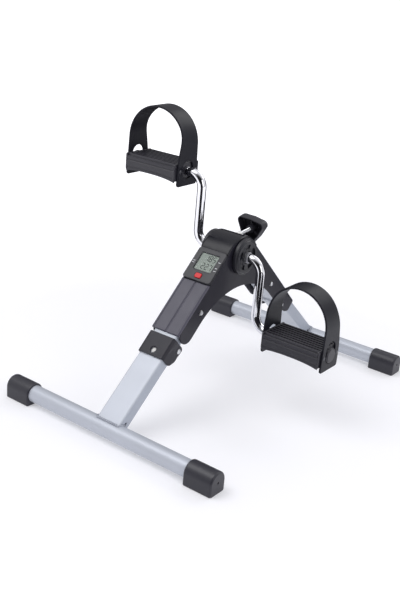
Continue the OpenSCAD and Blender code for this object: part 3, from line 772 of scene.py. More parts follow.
def make_lock_button(end):
    """Snap button with a rounded crown."""
    low, high = local_box(end + "_lock_button", LEG[end])
    centre = (low + high) / 2
    top = high.z
    place = LEG[end] @ Matrix.Translation((0, centre.y, 0))
    profile = turned_edges([(0, 2 * MM), (4 * MM, 2 * MM), (4 * MM, top), (0, top)], 0.8 * MM)
    button = lathe(end + "_snap_button", profile, place, 40)
    finish_piece(button, end + "_lock_button", "nylon", end + "_lock_button")


# ---------------------------------------------------------------- frame


def arm_to_yz(s, d):
    """Y (away from the middle) and Z of a point s down an arm and d out from it."""
    c, n = math.cos(ARM_TILT), math.sin(ARM_TILT)
    return s * c + d * n, -s * n + d * c


STUB_BOLT = Vector(arm_to_yz(-38.2 * MM, 174.4 * MM))


def side_outline():
    """Outline of a side plate in Y and Z: dome, arm, round arm end, arch, and the mirror of them."""
    tilt = math.degrees(ARM_TILT)
    dome_r = DOME_R - PLATE_T
    meet = math.degrees(math.acos((DOME_Z * math.sin(ARM_TILT) + ARM_TOP_S) / dome_r)) - tilt
    half = arc(0, DOME_Z, dome_r, 90, meet + 12, 14)
    end_r = ARM_DEPTH / 2
    mid_d = COVER_TOP - end_r
    lift = math.degrees(math.asin((SHEET_TOP - mid_d) / end_r))
    half.append(arm_to_yz(ARM_TOP_S + 6 * MM, SHEET_TOP))
    half += [arm_to_yz(s, d) for s, d in arc(0, mid_d, end_r, lift, -90, 16)]
    half += arc(0, ARCH_Z, ARCH_R, 90 - tilt, 90, 24)
    other = [(-y, z) for y, z in reversed(half)]
    return half + other[1:-1]


def make_channel():
    """Two side plates with a soft pressed edge, joined by a web along the top of each arm."""
    parts = []
    for side in (-1, 1):
        holes = [circle(4.6 * MM, way * STUB_BOLT.x, STUB_BOLT.y, 32) for way in (-1, 1)]
        holes.append(circle(10 * MM, 0, AXLE.z, 48))
        plane = x_facing(side)
        parts.append(plate("side", [side_outline(), *holes], HALF_W - PLATE_T, HALF_W, plane, 0.55 * MM, 3))
    half = HALF_W - PLATE_T
    stop, under = 2 * MM, SHEET_TOP - 1.6 * MM
    for end in ENDS:
        start = MONITOR[1].y if end == "front" else ARM_TOP_S + 2 * MM
        outline = [(start, under), (stop, under), (stop, SHEET_TOP), (start, SHEET_TOP)]
        parts.append(plate("web", [outline], -half, half, side_on(ARM[end]), 0.2 * MM, 1))
    body = joined("channel_body", parts)
    finish_piece(body, "frame", "frame_enamel", "main_channel", angle=28)


def make_dome():
    """Glossy cover over the crank: a curved shell with rounded side edges."""
    wall = 2 * MM
    tilt = math.degrees(ARM_TILT)
    cut_line = DOME_Z * math.sin(ARM_TILT) + ARM_TOP_S - 0.2 * MM
    first = math.degrees(math.acos(cut_line / DOME_R)) - tilt
    edge = [(0, 2.2), (0.15, 1.3), (0.6, 0.6), (1.3, 0.15), (2.2, 0)]
    stations = [(-HALF_W + x * MM, i * MM) for x, i in edge]
    stations += [(x, 0.0) for x in spread(-HALF_W + 3 * MM, HALF_W - 3 * MM, 10)]
    stations += [(HALF_W - x * MM, i * MM) for x, i in reversed(edge)]
    rings = []
    for x, inset in stations:
        outer = arc(0, DOME_Z, DOME_R - inset, first, 180 - first, 56)
        inner = arc(0, DOME_Z, DOME_R - wall - 0.2 * MM, 180 - first, first, 56)
        rings.append([(x, y, z) for y, z in outer + inner])
    shell = loft("dome_cover", rings)
    screw = JOINTS["tension_knob_turn"]
    along = Vector(screw["axis"]).to_track_quat("Z", "Y").to_matrix().to_4x4()
    place = Matrix.Translation(Vector(screw["pos_m"])) @ along
    shell = cut(shell, cylinder("hole", 5 * MM, -12 * MM, 12 * MM, place))
    finish_piece(shell, "frame", "dome_plastic", "dome_shroud")


def make_arm_cover(end):
    """Arm cover: beaded edges, a groove down the middle, and a lip that turns down at the lower end."""
    low, high = local_box(end + "_arm_cover", ARM[end])
    top, web = high.z, SHEET_TOP
    mouth = high.y + 2.2 * MM
    lip_bottom = local_box(end + "_stub", ARM[end])[1].z + 0.1 * MM
    lip_r = 1.3 * MM
    groove = mm((0.2, -1.9), (0.8, -1.75), (1.5, -1.1), (2.4, -0.9))
    bead = [(-5.2, -0.9), (-4.4, -1.0), (-3.9, -0.6), (-3.4, -0.1), (-2.8, 0), (-2.3, -0.2), (-1.0, -1.5)]
    right = groove + mm(*bead, (0, -1.8), at=(HALF_W, 0))
    across = [(-x, z) for x, z in reversed(right)] + right
    section = across + [(HALF_W, web - top), (-HALF_W, web - top)]
    stations = [(low.y, 0.8), (low.y + 0.25 * MM, 0.3), (low.y + 0.8 * MM, 0.0)]
    stations += [(s, 0.0) for s in spread(low.y + 2 * MM, mouth - lip_r, 12)]
    rings = []
    for s, drop in stations:
        rings.append([(x, s, top + max(z - drop * MM, web - top)) for x, z in section])
    for angle in spread(0.2, PI / 2, 6):
        s = mouth - lip_r + lip_r * math.sin(angle)
        drop = lip_r * (1 - math.cos(angle))
        ring = [(x, s, top + z - drop) for x, z in across]
        rings.append(ring + [(HALF_W, s, lip_bottom), (-HALF_W, s, lip_bottom)])
    cover = loft(end + "_cover_shell", rings, ARM[end])
    finish_piece(cover, "frame", "cover_plastic", end + "_arm_cover", angle=40)


def make_stub(end):
    """Short length of leg tube held in the arm, its upper end rounded."""
    low, high = local_box(end + "_stub", ARM[end])
    mid, r = (low.z + high.z) / 2, (high.z - low.z) / 2
    outline = [(high.y, low.z), (high.y, high.z)] + arc(low.y + r, mid, r, 90, 270, 14)
    stub = plate(end + "_stub_bar", [outline], -LEG_W / 2, LEG_W / 2, side_on(ARM[end]), LEG_EDGE, 4)
    finish_piece(stub, "frame", "silver_enamel", end + "_stub")


def bolt_places(side):
    """A frame at each stub bolt, facing outward on that side."""
    return [x_facing(side, (0, way * STUB_BOLT.x, STUB_BOLT.y)) for way in ENDS.values()]


def make_stub_bolts():
    """Pan heads on the right, plain shanks through to the nuts on the left."""
    low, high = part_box("stub_bolts")
    step = HALF_W - PLATE_T
    profile = [(0, low.x), (3 * MM, low.x), (3 * MM, step), (3.4 * MM, step)]
    profile += mm((3.4, -0.9), (2.8, -0.2), (1.6, 0), (1.4, -1), (0, -1), at=(0, high.x))
    profile = turned_edges(profile, 0.4 * MM)
    parts = [lathe("bolt", profile, place, 40) for place in bolt_places(1)]
    bolts = joined("stub_bolt_pair", parts)
    finish_piece(bolts, "frame", "zinc_steel", "stub_bolts")


def hex_nut(name, across_corners, low, high, matrix, bore):
    """Hex nut with chamfered corners."""
    outline = arc(0, 0, across_corners, 0, 360, 6)[:-1]
    nut = plate(name, [outline, circle(bore, steps=32)], low, high, matrix, 0.25 * MM, 2)
    face_r, wide_r = across_corners * 0.88, across_corners * 1.02
    profile = [(0, low - 1 * MM), (face_r, low - 0.1 * MM), (wide_r, low + 0.9 * MM)]
    profile += [(wide_r, high - 0.9 * MM), (face_r, high + 0.1 * MM), (0, high + 1 * MM)]
    limit = lathe("chamfer", profile, matrix, 48)
    trim = nut.modifiers.new("trim", "BOOLEAN")
    trim.operation, trim.object, trim.solver = "INTERSECT", limit, "EXACT"
    nut = applied(nut)
    bpy.data.objects.remove(limit)
    return nut


def make_stub_nuts():
    low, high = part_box("stub_nuts")
    parts = [hex_nut("nut", 5.4 * MM, -high.x, -low.x, place, 3 * MM) for place in bolt_places(-1)]
    nuts = joined("stub_nut_pair", parts)
    finish_piece(nuts, "frame", "zinc_steel", "stub_nuts", angle=25)


# ---------------------------------------------------------------- monitor


WINDOW = local_box("display_window", ARM["front"])
WINDOW_W, WINDOW_L = WINDOW[1].x - WINDOW[0].x, WINDOW[1].y - WINDOW[0].y
WINDOW_Y = (WINDOW[0].y + WINDOW[1].y) / 2
BUTTON = local_box("reset_button", ARM["front"])
BUTTON_Y = (BUTTON[0].y + BUTTON[1].y) / 2


def make_monitor():
    """Monitor housing: rounded face with the window and button openings, and the box behind it."""
    low, high = MONITOR
    place = ARM["front"]
    mid, length = (low.y + high.y) / 2, high.y - low.y
    outline = rectangle(2 * HALF_W, length, 4.5 * MM, 0, mid, 8)
    hole = rectangle(WINDOW_W, WINDOW_L, 1 * MM, 0, WINDOW_Y)
    press = rectangle(11 * MM, 8 * MM, 1.8 * MM, 0, BUTTON_Y)
    face = plate("face", [outline, hole, press], SHEET_TOP + 0.02 * MM, high.z, place, 1.1 * MM, 4)
    box_outline = rectangle(42 * MM, length, 1 * MM, 0, mid)
    inner = rectangle(38 * MM, length - 4 * MM, 0.5 * MM, 0, mid)
    walls = plate("walls", [box_outline, inner], low.z, SHEET_TOP, place, 0.3 * MM, 1)
    opening = rectangle(24 * MM, length - 20 * MM, 0, 0, mid)
    back = plate("back", [box_outline, opening], low.z, low.z + 2 * MM, place, 0.3 * MM, 1)
    housing = joined("monitor_case", [face, walls, back])
    finish_piece(housing, "frame", "cover_plastic", "monitor_housing", paint=MONITOR_BLACK, angle=28)


SEGMENTS = {
    "0": "abcdef", "1": "bc", "2": "abged", "3": "abgcd", "4": "fgbc",
    "5": "afgcd", "6": "afgedc", "7": "abc", "8": "abcdefg", "9": "abcdfg",
}


def segment_bar(x, y, length, upright, width):
    """Six-sided bar of a seven-segment digit."""
    a, b = length / 2, width / 2
    points = [(-a, 0), (-a + b, b), (a - b, b), (a, 0), (a - b, -b), (-a + b, -b)]
    if upright:
        points = [(q, p) for p, q in points]
    return [(x + p, y + q) for p, q in points]


def digit_bars(mark, x, y, w, h):
    """Bars of one digit; y grows downward on the display."""
    bars = {
        "a": (x, y - h / 2, w, False), "g": (x, y, w, False), "d": (x, y + h / 2, w, False),
        "f": (x - w / 2, y - h / 4, h / 2, True), "b": (x + w / 2, y - h / 4, h / 2, True),
        "e": (x - w / 2, y + h / 4, h / 2, True), "c": (x + w / 2, y + h / 4, h / 2, True),
    }
    return [bars[k] for k in SEGMENTS[mark]]


def make_display():
    """Display glass under the window, with two rows of plain digits on it."""
    low, high = local_box("display_panel", ARM["front"])
    glass_outline = rectangle(high.x - low.x, high.y - low.y, 0.6 * MM, 0, WINDOW_Y)
    glass = plate("display_glass_plate", [glass_outline], low.z, high.z, ARM["front"], 0.15 * MM)
    finish_piece(glass, "frame", "display_glass", "display_panel")
    bars = []
    for text, row_y in (("185", -7.6 * MM), ("227", 6.2 * MM)):
        for i, mark in enumerate(text):
            x = -3.6 * MM + i * 6.6 * MM
            for bx, by, length, upright in digit_bars(mark, x, WINDOW_Y + row_y, 4.2 * MM, 9.2 * MM):
                outline = segment_bar(bx, by, length * 0.96, upright, 1.25 * MM)
                bars.append(plate("bar", [outline], high.z, high.z + 0.12 * MM, ARM["front"], 0.01 * MM, 0))
    digits = joined("display_digits", bars)
    finish_piece(digits, "frame", "display_glass", paint=DIGIT_DARK, shade=False)
    lens = rectangle(WINDOW_W - 0.1 * MM, WINDOW_L - 0.1 * MM, 0.9 * MM, 0, WINDOW_Y)
    window_plate = plate("window_lens", [lens], WINDOW[0].z, WINDOW[1].z, ARM["front"], 0.15 * MM)
    finish_piece(window_plate, "frame", "display_lens", "display_window")


def make_marks():
    """Plain tick marks printed beside the window."""
    top = MONITOR[1].z
    start = WINDOW[0].y - 8 * MM
    ticks = [(-20.6, 25.0), (-20.6, 28.2), (20.8, 17.5), (20.8, 27.6), (20.8, 32.4)]
    parts = []
    for x, v in ticks:
        outline = rectangle(4.0 * MM, 0.8 * MM, 0.2 * MM, x * MM, start + v * MM)
        parts.append(plate("tick", [outline], top - 0.05 * MM, top + 0.06 * MM, ARM["front"], 0.02 * MM, 0))
    marks = joined("monitor_ticks", parts)
    finish_piece(marks, "frame", "nylon", paint=MARK_WHITE, shade=False)


def make_reset_button():
    outline = rectangle(10.6 * MM, 7.6 * MM, 1.7 * MM, 0, BUTTON_Y, 6)
    cap = plate("reset_key", [outline], BUTTON[0].z, BUTTON[1].z, ARM["front"], 0.7 * MM, 4)
    finish_piece(cap, "reset_button", "red_plastic", "reset_button")


# ---------------------------------------------------------------- crank


def crank_path(way):
    """Centre line of a right-hand crank in X and Z; way is -1 for a downward throw."""
    throw = abs(SPINDLE["right"].z - AXLE.z)
    reach, bend = 60 * MM, 21 * MM
    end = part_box("right_crank")[1].x
    flat = [(27 * MM, 0), (reach - bend - 4 * MM, 0)]
    flat += arc(reach - bend, bend, bend, -90, 0, 20)
    flat += arc(reach + bend, throw - bend, bend, 180, 90, 20)
    flat += [(end - 1 * MM, throw)]
    return [(x, 0, way * z) for x, z in flat]


COLLAR_R = 8.8 * MM
HUB_RECESS = 4 * MM


def make_collar():
    """Ribbed ferrule round the crank where it leaves the hub disc; X runs outward."""
    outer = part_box("right_hub_disc")[1].x
    start, stop = outer - HUB_RECESS + 0.1 * MM, 39 * MM
    profile = [(ROD_R - 0.2 * MM, start), (COLLAR_R - 0.4 * MM, start)]
    ribs = 4
    pitch = (stop - start - 1.2 * MM) / ribs
    for i in range(ribs):
        x = start + 0.4 * MM + i * pitch
        profile += [(COLLAR_R, x), (COLLAR_R, x + 0.62 * pitch)]
        profile += [(COLLAR_R - 0.7 * MM, x + 0.7 * pitch), (COLLAR_R - 0.7 * MM, x + 0.92 * pitch)]
    profile += [(COLLAR_R - 0.6 * MM, stop - 0.4 * MM), (ROD_R - 0.2 * MM, stop)]
    return lathe("collar", turned_edges(profile, 0.25 * MM), x_facing(1), 64)


def make_crank(side):
    way = 1 if side == "left" else -1
    rod = tube_along("rod", crank_path(way), ROD_R, 48)
    rod.data.materials.append(MATERIALS["chrome_rod"])
    collar = make_collar()
    collar.data.materials.append(COLLAR_STEEL)
    crank = joined(side + "_crank_rod", [rod, collar])
    crank.data.transform(Matrix.Translation((0, 0, AXLE.z)) @ Matrix.Scale(SIDES[side], 4, (1, 0, 0)))
    if SIDES[side] < 0:
        crank.data.flip_normals()
    finish_piece(crank, "crank", "chrome_rod", side + "_crank")


def make_hub_disc(side):
    """Stepped hub disc: a raised rim, a dished face with radial slots, and a recess for the collar."""
    low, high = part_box(side + "_hub_disc")
    inner, outer = sorted((abs(low.x), abs(high.x)))
    r = HUB_R
    floor = outer - HUB_RECESS
    boss = COLLAR_R + 2.2 * MM
    profile = [(ROD_R, inner), *mm((-0.4, 0), (0, 0.6), at=(r, inner))]
    profile += mm((0, -2.9), (-0.8, -2.3), (-2.6, -2.3), (-3.2, -0.7), (-4.2, 0), at=(r, outer))
    profile += [(r * 0.72, outer), (r * 0.68, outer - 0.9 * MM), (r * 0.56, outer - 1.5 * MM)]
    profile += mm((1.4, -1.5), (0.8, -0.3), (-1.2, -0.3), at=(boss, outer))
    profile += [(boss - 1.6 * MM, floor), (ROD_R, floor)]
    place = x_facing(SIDES[side], (0, 0, AXLE.z))
    hub = lathe(side + "_hub", turned_edges(profile, 0.45 * MM), place, 96)
    slots = []
    for i in range(5):
        turn = place @ Matrix.Rotation(math.radians(18 + 72 * i), 4, "Z")
        outline = arc(0, 0, r * 0.70, -20, 20, 8) + arc(0, 0, boss + 1.8 * MM, 20, -20, 8)
        slots.append(plate("slot", [outline], outer - 3.4 * MM, outer + 2 * MM, turn, 0.3 * MM, 1))
    hub = cut(hub, *slots)
    finish_piece(hub, "crank", "hub_plastic", side + "_hub_disc")


# ---------------------------------------------------------------- pedals

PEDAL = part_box("right_pedal_body")
PEDAL_MID_X = (PEDAL[0].x + PEDAL[1].x) / 2
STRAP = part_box("right_strap")
TREAD_Z = PEDAL[1].z - SPINDLE["right"].z
PEDAL_LOW = PEDAL[0].z - SPINDLE["right"].z
PEDAL_HALF_W = PEDAL[1].y
STUD_Y = 18 * MM


def on_spindle(side):
    """Frame on a pedal's spindle; X runs outward from the machine."""
    return Matrix.Translation((0, 0, SPINDLE[side].z)) @ Matrix.Scale(SIDES[side], 4, (1, 0, 0))


def put_on_spindle(obj, side):
    """Moves a part drawn for the right pedal to a spindle, mirrored on the left."""
    obj.data.transform(on_spindle(side))
    if SIDES[side] < 0:
        obj.data.flip_normals()
    return obj


def pedal_wall(way, x0, x1):
    """Front or rear wall of a pedal: a rolled top edge, a recessed band and an arched lower edge."""
    outer = PEDAL_HALF_W
    steps = [(-3.0, 8.4), (-1.4, 8.6), (-0.5, 8.0), (0.0, 6.8), (0.0, 3.6), (-0.9, 2.6), (-0.9, 1.8)]
    steps += [(-0.1, 0.6), (-0.1, -6.4), (-0.5, -7.4), (-0.9, -8.4), (-0.5, -9.6), (-0.3, -13.2)]
    steps += [(-0.8, -14.0), (-2.8, -14.0), (-3.2, -13.0), (-3.2, 4.0)]
    rings = []
    for x in spread(x0, x1, 28):
        from_mid = 2 * (x - (x0 + x1) / 2) / (x1 - x0)
        ring = []
        for inset, z in steps:
            flare = 1.6 * max(0, -z - 4) / 10 * from_mid**4
            lift = 2.4 * max(0, -z - 5) / 9 * (1 - from_mid**2)
            ring.append((x, way * (outer + inset * MM), (z - flare + lift) * MM))
        rings.append(ring)
    return loft("wall", rings)


def tread_rib(x0, x1, y, width, top):
    """One rib of the tread, wider at its root."""
    half = width / 2
    right = [(half - 0.7 * MM, top), (half - 0.3 * MM, top - 0.25 * MM)]
    right += [(half, 8.6 * MM), (half + 0.35 * MM, 7.6 * MM)]
    section = [(-p, z) for p, z in reversed(right)] + right
    return loft("rib", [[(x, y + p, z) for p, z in section] for x in (x0, x1)])


def end_wall_outline():
    half = PEDAL_HALF_W
    points = [(-half, TREAD_Z), (-half, PEDAL_LOW), (half, PEDAL_LOW), (half, TREAD_Z)]
    return rounded_outline(points, [2.5 * MM, 3 * MM, 3 * MM, 2.5 * MM])


def make_pedal_body(side):
    """Moulded pedal: ribbed tread, two shaped walls, two end walls and the spindle tube."""
    x0, x1 = PEDAL[0].x, PEDAL[1].x
    wall = 3 * MM
    parts = [pedal_wall(way, x0 + 1 * MM, x1 - 1 * MM) for way in (-1, 1)]
    half = PEDAL_HALF_W
    deck = rectangle(2 * half - 4 * MM, 3.1 * MM, 0, 0, 6.75 * MM)
    parts.append(plate("deck", [deck], x0 + 1 * MM, x1 - 1 * MM, x_facing(1), 0.2 * MM, 1))
    ribs = 8
    for i in range(ribs):
        y = -half + 5 * MM + i * (2 * half - 10 * MM) / (ribs - 1)
        parts.append(tread_rib(x0 + wall - 0.5 * MM, x1 - wall + 0.5 * MM, y, 3.6 * MM, TREAD_Z))
    bore, shell = ROD_R + 0.1 * MM, ROD_R + 3 * MM
    hole = circle(bore)
    for low in (x0, x1 - wall):
        parts.append(plate("end", [end_wall_outline(), hole], low, low + wall, x_facing(1), 0.6 * MM, 3))
    tube = [(bore, x0 + 1 * MM), (shell, x0 + 1 * MM), (shell, x1 - 1 * MM), (bore, x1 - 1 * MM)]
    parts.append(lathe("tube", tube, x_facing(1)))
    pedal = joined(side + "_pedal_shell", parts)
    put_on_spindle(pedal, side)
    finish_piece(pedal, side + "_pedal", "pedal_plastic", side + "_pedal_body", angle=32)


def strap_shape():
    """Radius of the arch, its centre height and the straight length below it."""
    radius = (STRAP[1].x - STRAP[0].x) / 2
    top = STRAP[1].z - SPINDLE["right"].z
    foot = STRAP[0].z - SPINDLE["right"].z
    return radius, top - radius, foot


def stadium(u_low, u_high, r):
    """Slot outline along U with round ends."""
    a, b = max(u_low, u_high), min(u_low, u_high)
    return arc(a, 0, r, -90, 90, 18) + arc(b, 0, r, 90, 270, 18)


def make_strap(side):
    """Foot strap: a flat blank with wide slotted feet and rounded edges, bent over the pedal."""
    thick = 3 * MM
    radius, centre_z, foot = strap_shape()
    mid_r = radius - thick / 2
    bend_l = mid_r * PI / 2
    half_l = centre_z - foot + bend_l                     # from the crown to the end of a foot
    low_half = (STRAP[1].y - STRAP[0].y) / 2
    top_half = 15.5 * MM
    flare_start, flare_stop = foot + half_l - 9 * MM, bend_l - 26 * MM
    edge = [(-half_l, low_half), (-half_l, -low_half)]
    for t in spread(0, 1, 14):
        u = flare_start + (flare_stop - flare_start) * t
        ease = 0.45 * math.sin(t * PI / 2) + 0.55 * t * t * (3 - 2 * t)
        edge.append((-u, -(low_half + (top_half - low_half) * ease)))
    outline = edge + [(-u, -v) for u, v in edge]
    corners = [4 * MM if abs(abs(u) - half_l) < 1e-6 else 0 for u, v in outline]
    blank = rounded_outline(outline, corners, 5)
    holes = []
    for way, reach in ((-1, 3 * MM), (1, 8.5 * MM)):
        at = foot + half_l
        holes.append(stadium(way * at, way * (at - reach), 12.5 * MM))
        holes += [circle(1.8 * MM, way * at, v, 20) for v in (-STUD_Y, STUD_Y)]
    sheet = plate("blank", [blank, *holes], -thick / 2, thick / 2, WORLD, 0.9 * MM, 3)
    sheet = sliced(sheet, 0, spread(-bend_l, bend_l, 72))

    def fold(p):
        u, v, w = p
        if abs(u) <= bend_l:
            angle, r = u / mid_r, mid_r + w
            return Vector((PEDAL_MID_X + r * math.sin(angle), v, centre_z + r * math.cos(angle)))
        way = math.copysign(1, u)
        return Vector((PEDAL_MID_X + way * (mid_r + w), v, centre_z - (abs(u) - bend_l)))

    strap = bent(sheet, fold)
    strap.data.transform(on_spindle(side))
    cleaned(strap)
    strap.name = side + "_foot_strap"
    finish_piece(strap, side + "_pedal", "strap_rubber", side + "_strap", angle=28)


def make_strap_studs(side):
    low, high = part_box("right_strap_studs")
    shank, head_r, crown = 1.8 * MM, 3.1 * MM, 1.2 * MM
    parts = []
    for way in (-1, 1):
        for y in (-STUD_Y, STUD_Y):
            face = way * ((high.x if way > 0 else low.x) - PEDAL_MID_X) - crown
            profile = [(0, face - 3 * MM), (shank, face - 3 * MM), (shank, face), (head_r, face)]
            dome = spread(0.3, PI / 2, 6)
            profile += [(head_r * math.cos(a), face + crown * math.sin(a)) for a in dome]
            parts.append(lathe("stud", profile, x_facing(way, (PEDAL_MID_X, y, 0)), 32))
    studs = joined(side + "_stud_set", parts)
    put_on_spindle(studs, side)
    finish_piece(studs, side + "_pedal", "zinc_steel", side + "_strap_studs", paint=STUD_STEEL)


def make_spindle_cap(side):
    low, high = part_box("right_spindle_cap")
    profile = mm((0, -2.5), (8.5, -2.5), at=(0, high.x)) + mm((8.5, 0), (11.9, 0), at=(0, low.x))
    profile += mm((11.9, -1.6), (11.2, -1.0), (10.4, -0.9), (10.0, 0), (0, 0), at=(0, high.x))
    cap = lathe(side + "_spindle_button", turned_edges(profile, 0.5 * MM), x_facing(1), 64)
    put_on_spindle(cap, side)
    finish_piece(cap, side + "_pedal", "pedal_plastic", side + "_spindle_cap")


# ---------------------------------------------------------------- tension screw and knob


def screw_frame():
    """Frame on the tension screw: Z outward along it, Y upward."""
    joint = JOINTS["tension_knob_turn"]
    out = Vector(joint["axis"])
    across = Vector((-1, 0, 0))
    up = out.cross(across)
    turn = Matrix((across, up, out)).transposed().to_4x4()
    return Matrix.Translation(Vector(joint["pos_m"])) @ turn


def make_tension_screw():
    """Threaded rod with a collar; the thread is a real helix."""
    place = screw_frame()
    low, high = local_box("tension_screw", place)
    core, crest, pitch, around = 2.55 * MM, 3.0 * MM, 1.0 * MM, 24
    rings = []
    rows = int((high.z - low.z) / (pitch / 8))
    for k in range(rows + 1):
        z = low.z + (high.z - low.z) * k / rows
        ring = []
        for i in range(around):
            angle = 2 * PI * i / around
            phase = ((z / pitch) - i / around) % 1
            r = core + (crest - core) * (1 - abs(2 * phase - 1))
            ring.append((r * math.cos(angle), r * math.sin(angle), z))
        rings.append(ring)
    rod = loft("thread", rings, place)
    collar_profile = [(2 * MM, 6.9 * MM), (5 * MM, 6.9 * MM), (5 * MM, 8.5 * MM), (2 * MM, 8.5 * MM)]
    collar = lathe("collar", turned_edges(collar_profile, 0.3 * MM), place)
    screw = joined("tension_rod", [rod, collar])
    finish_piece(screw, "tension_knob", "zinc_steel", "tension_screw", angle=60)


KNOB_TURN = 155                               # first lobe, in degrees from the screw frame's X


def lobes(radius, crown=0.0):
    """Three-lobed outline with sides bulged by crown."""
    pitch_r = 19 * MM
    points = []
    for k in range(3):
        turn = KNOB_TURN + 120 * k
        cx, cy = pitch_r * math.cos(math.radians(turn)), pitch_r * math.sin(math.radians(turn))
        points += arc(cx, cy, radius, turn - 60, turn + 60, 12)
        middle = math.radians(turn + 60)
        reach = pitch_r / 2 + radius
        for t in (-0.5, 0.0, 0.5):
            out = reach + crown * (1 - (2 * t * 0.8) ** 2)
            slide = pitch_r * math.cos(math.radians(30)) * t * 1.1
            across = Matrix.Rotation(middle, 2) @ Vector((out, slide))
            points.append(tuple(across))
    return points


def make_knob():
    """Three-lobed knob: sides flare toward the crowned back, and it is hollow on the machine's side."""
    place = screw_frame()
    low, high = local_box("tension_knob", place)
    depth = high.z - low.z
    rings = []
    wall = [(0, -0.9), (0.02, -0.35), (0.08, 0), (0.3, 0.25), (0.55, 0.5), (0.78, 0.55), (0.9, 0.1)]
    wall += [(0.96, -0.9), (0.99, -2.6), (1, -5)]
    for along, grow in wall:
        outline = lobes((6.9 + grow) * MM, 1.3 * MM)
        rings.append([(x, y, low.z + along * depth) for x, y in outline])
    body = loft("body", rings, place)
    inside = [(low.z - 2 * MM, 5.4 * MM), (high.z - 5 * MM, 5.0 * MM), (high.z - 3.5 * MM, 3.6 * MM)]
    hollow = loft("hollow", [[(x, y, z) for x, y in lobes(r, 1.3 * MM)] for z, r in inside], place)
    body = cut(body, hollow)
    bore, start, stop = 2.9 * MM, low.z + 0.5 * MM, high.z - 3 * MM
    hub_profile = [(bore, start), (6.2 * MM, start), (6.8 * MM, stop), (bore, stop)]
    parts = [body, lathe("hub", hub_profile, place)]
    for k in range(3):
        turn = place @ Matrix.Rotation(math.radians(KNOB_TURN + 60 + 120 * k), 4, "Z")
        rib = rectangle(8.5 * MM, 1.8 * MM, 0, 10.5 * MM, 0)
        parts.append(plate("rib", [rib], low.z + 4 * MM, high.z - 3 * MM, turn, 0.4 * MM, 2))
    knob = joined("knob_cap", parts)
    finish_piece(knob, "tension_knob", "knob_plastic", "tension_knob", angle=35)


def make_pieces():
    """Every visible piece, once."""
    for end in ENDS:
        make_base_tube(end)
        make_leg_tube(end)
        make_weld(end)
        make_bracket(end)
        make_hinge_pin(end)
        make_lock_button(end)
        make_arm_cover(end)
        make_stub(end)
        for side in SIDES:
            make_foot(end, side)
    make_channel()
    make_dome()
    make_stub_bolts()
    make_stub_nuts()
    make_monitor()
    make_display()
    make_marks()
    make_reset_button()
    for side in SIDES:
        make_crank(side)
        make_hub_disc(side)
        make_pedal_body(side)
        make_strap(side)
        make_strap_studs(side)
        make_spindle_cap(side)
    make_tension_screw()
    make_knob()


# ---------------------------------------------------------------- camera and studio


VIEW = 35.86                                  # the camera's azimuth in degrees


def make_camera():
    """Camera above the user's right, looking down on the machine."""
    azimuth, elevation, roll = (math.radians(a) for a in (VIEW, 21.42, 4.99))
    ahead = Vector((-math.sin(azimuth), math.cos(azimuth), 0)) * math.cos(elevation)
    ahead.z = -math.sin(elevation)
    right = ahead.cross(Vector((0, 0, 1))).normalized()
    up = right.cross(ahead)
    across = math.cos(roll) * right + math.sin(roll) * up
    upward = -math.sin(roll) * right + math.cos(roll) * up
    data = bpy.data.cameras.new("camera")
    data.lens = 55.18
    data.sensor_width = 36
    camera = bpy.data.objects.new("camera", data)
    bpy.context.scene.collection.objects.link(camera)
    turn = Matrix((across, upward, -ahead)).transposed().to_4x4()
    camera.matrix_world = Matrix.Translation((0.73973, -1.08617, 0.65386)) @ turn
    bpy.context.scene.camera = camera


def area_light(name, place, aim, size, power, tint=(1, 1, 1)):
    data = bpy.data.lights.new(name, "AREA")
    data.shape = "RECTANGLE"
    data.size, data.size_y = size
    data.energy = power
    data.color = tint
    light = bpy.data.objects.new(name, data)
    bpy.context.scene.collection.objects.link(light)
    light.location = place
    light.rotation_mode = "QUATERNION"
    light.rotation_quaternion = (Vector(aim) - Vector(place)).to_track_quat("-Z", "Y")


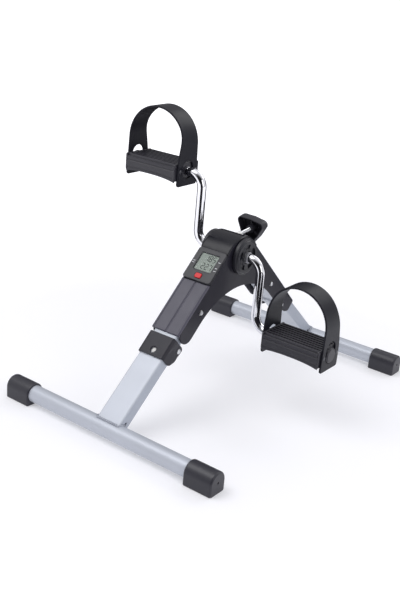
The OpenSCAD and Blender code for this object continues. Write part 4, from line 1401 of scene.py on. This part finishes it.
def studio_world():
    """White to look at; soft ambient light; for gloss, a bright room with a dark side to the front."""
    world = bpy.data.worlds.new("studio")
    world.use_nodes = True
    nodes = Nodes(world.node_tree)
    rays = nodes.node("LightPath")
    to_front = (0.586, -0.810, 0.0)
    facing = nodes.node("VectorMath", {1: to_front}, operation="DOT_PRODUCT")
    nodes.link(nodes.place.outputs["Generated"], facing.inputs[0])
    span = nodes.node("MapRange", {"From Min": -1})
    nodes.link(facing.outputs["Value"], span.inputs["Value"])
    room = nodes.node("ValToRGB")
    stops = [(0.0, 0.30), (0.14, 0.62), (0.30, 0.95), (0.62, 0.95), (0.76, 0.42), (0.86, 0.03), (1.0, 0.01)]
    for spot, _ in stops[1:-1]:
        room.color_ramp.elements.new(spot)
    for element, (spot, value) in zip(room.color_ramp.elements, stops):
        element.position = spot
        element.color = (value, value, value * 1.03, 1)
    nodes.link(span.outputs["Result"], room.inputs["Fac"])
    factor, first, second, result = 0, 6, 7, 2    # a colour Mix node's sockets
    ambient = nodes.node("Mix", {first: (0.58, 0.58, 0.62, 1)}, data_type="RGBA")
    nodes.link(rays.outputs["Is Glossy Ray"], ambient.inputs[factor])
    nodes.link(room.outputs["Color"], ambient.inputs[second])
    seen = nodes.node("Mix", {second: (1.05, 1.05, 1.05, 1)}, data_type="RGBA")
    nodes.link(rays.outputs["Is Camera Ray"], seen.inputs[factor])
    nodes.link(ambient.outputs[result], seen.inputs[first])
    nodes.link(seen.outputs[result], world.node_tree.nodes["Background"].inputs["Color"])
    bpy.context.scene.world = world


def make_floor():
    """Pale paper that grows brighter away from the machine, like a lit backdrop."""
    bm = bmesh.new()
    bmesh.ops.create_grid(bm, x_segments=1, y_segments=1, size=14)
    floor = from_bmesh("floor", bm)
    paper = Shader("floor_paper", Roughness=0.7, Specular_IOR_Level=0.2)
    paper.colour(varied(paper, (0.72, 0.72, 0.745), 0.005, 1.5))
    distance = paper.node("VectorMath", operation="LENGTH")
    paper.link(paper.place.outputs["Object"], distance.inputs[0])
    glow = paper.remap(distance.outputs["Value"], 0.30, 0.85, 0.4, 1.8)
    paper.surface.inputs["Emission Color"].default_value = (1, 1, 1, 1)
    paper.link(glow, paper.surface.inputs["Emission Strength"])
    floor.data.materials.append(paper.material)


def make_flags():
    """Black cards round the machine, seen only in reflections, that give the chrome its dark lines."""
    card = Shader("flag_black", Roughness=0.9, Specular_IOR_Level=0.1)
    card.colour(varied(card, (0.012, 0.012, 0.014), 0.1))
    for name, centre, half in (("front_flag", VIEW - 3, 30), ("back_flag", VIEW + 180, 66)):
        rings = []
        for r, z in ((0.42, 0.002), (0.9, 0.06), (1.3, 0.5)):
            turns = [math.radians(centre + a) for a in spread(-half, half, 16)]
            rings.append([(r * math.sin(a), -r * math.cos(a), z) for a in turns])
        flag = loft(name, rings, caps=False, closed=False)
        flag.data.materials.append(card.material)
        flag.visible_camera = flag.visible_diffuse = flag.visible_shadow = flag.visible_transmission = False


def make_studio():
    bpy.context.scene.view_settings.view_transform = "Standard"
    studio_world()
    make_floor()
    make_flags()
    area_light("key", (-0.7, -0.9, 2.0), (0, 0, 0.15), (1.4, 1.4), 17)
    area_light("fill", (2.0, -0.6, 1.0), (0, 0, 0.2), (1.0, 1.4), 9)
    area_light("rim", (0.3, 1.8, 1.7), (0, 0, 0.2), (1.8, 0.8), 10)


make_camera()
make_studio()
dress_cad_nodes()
make_pieces()
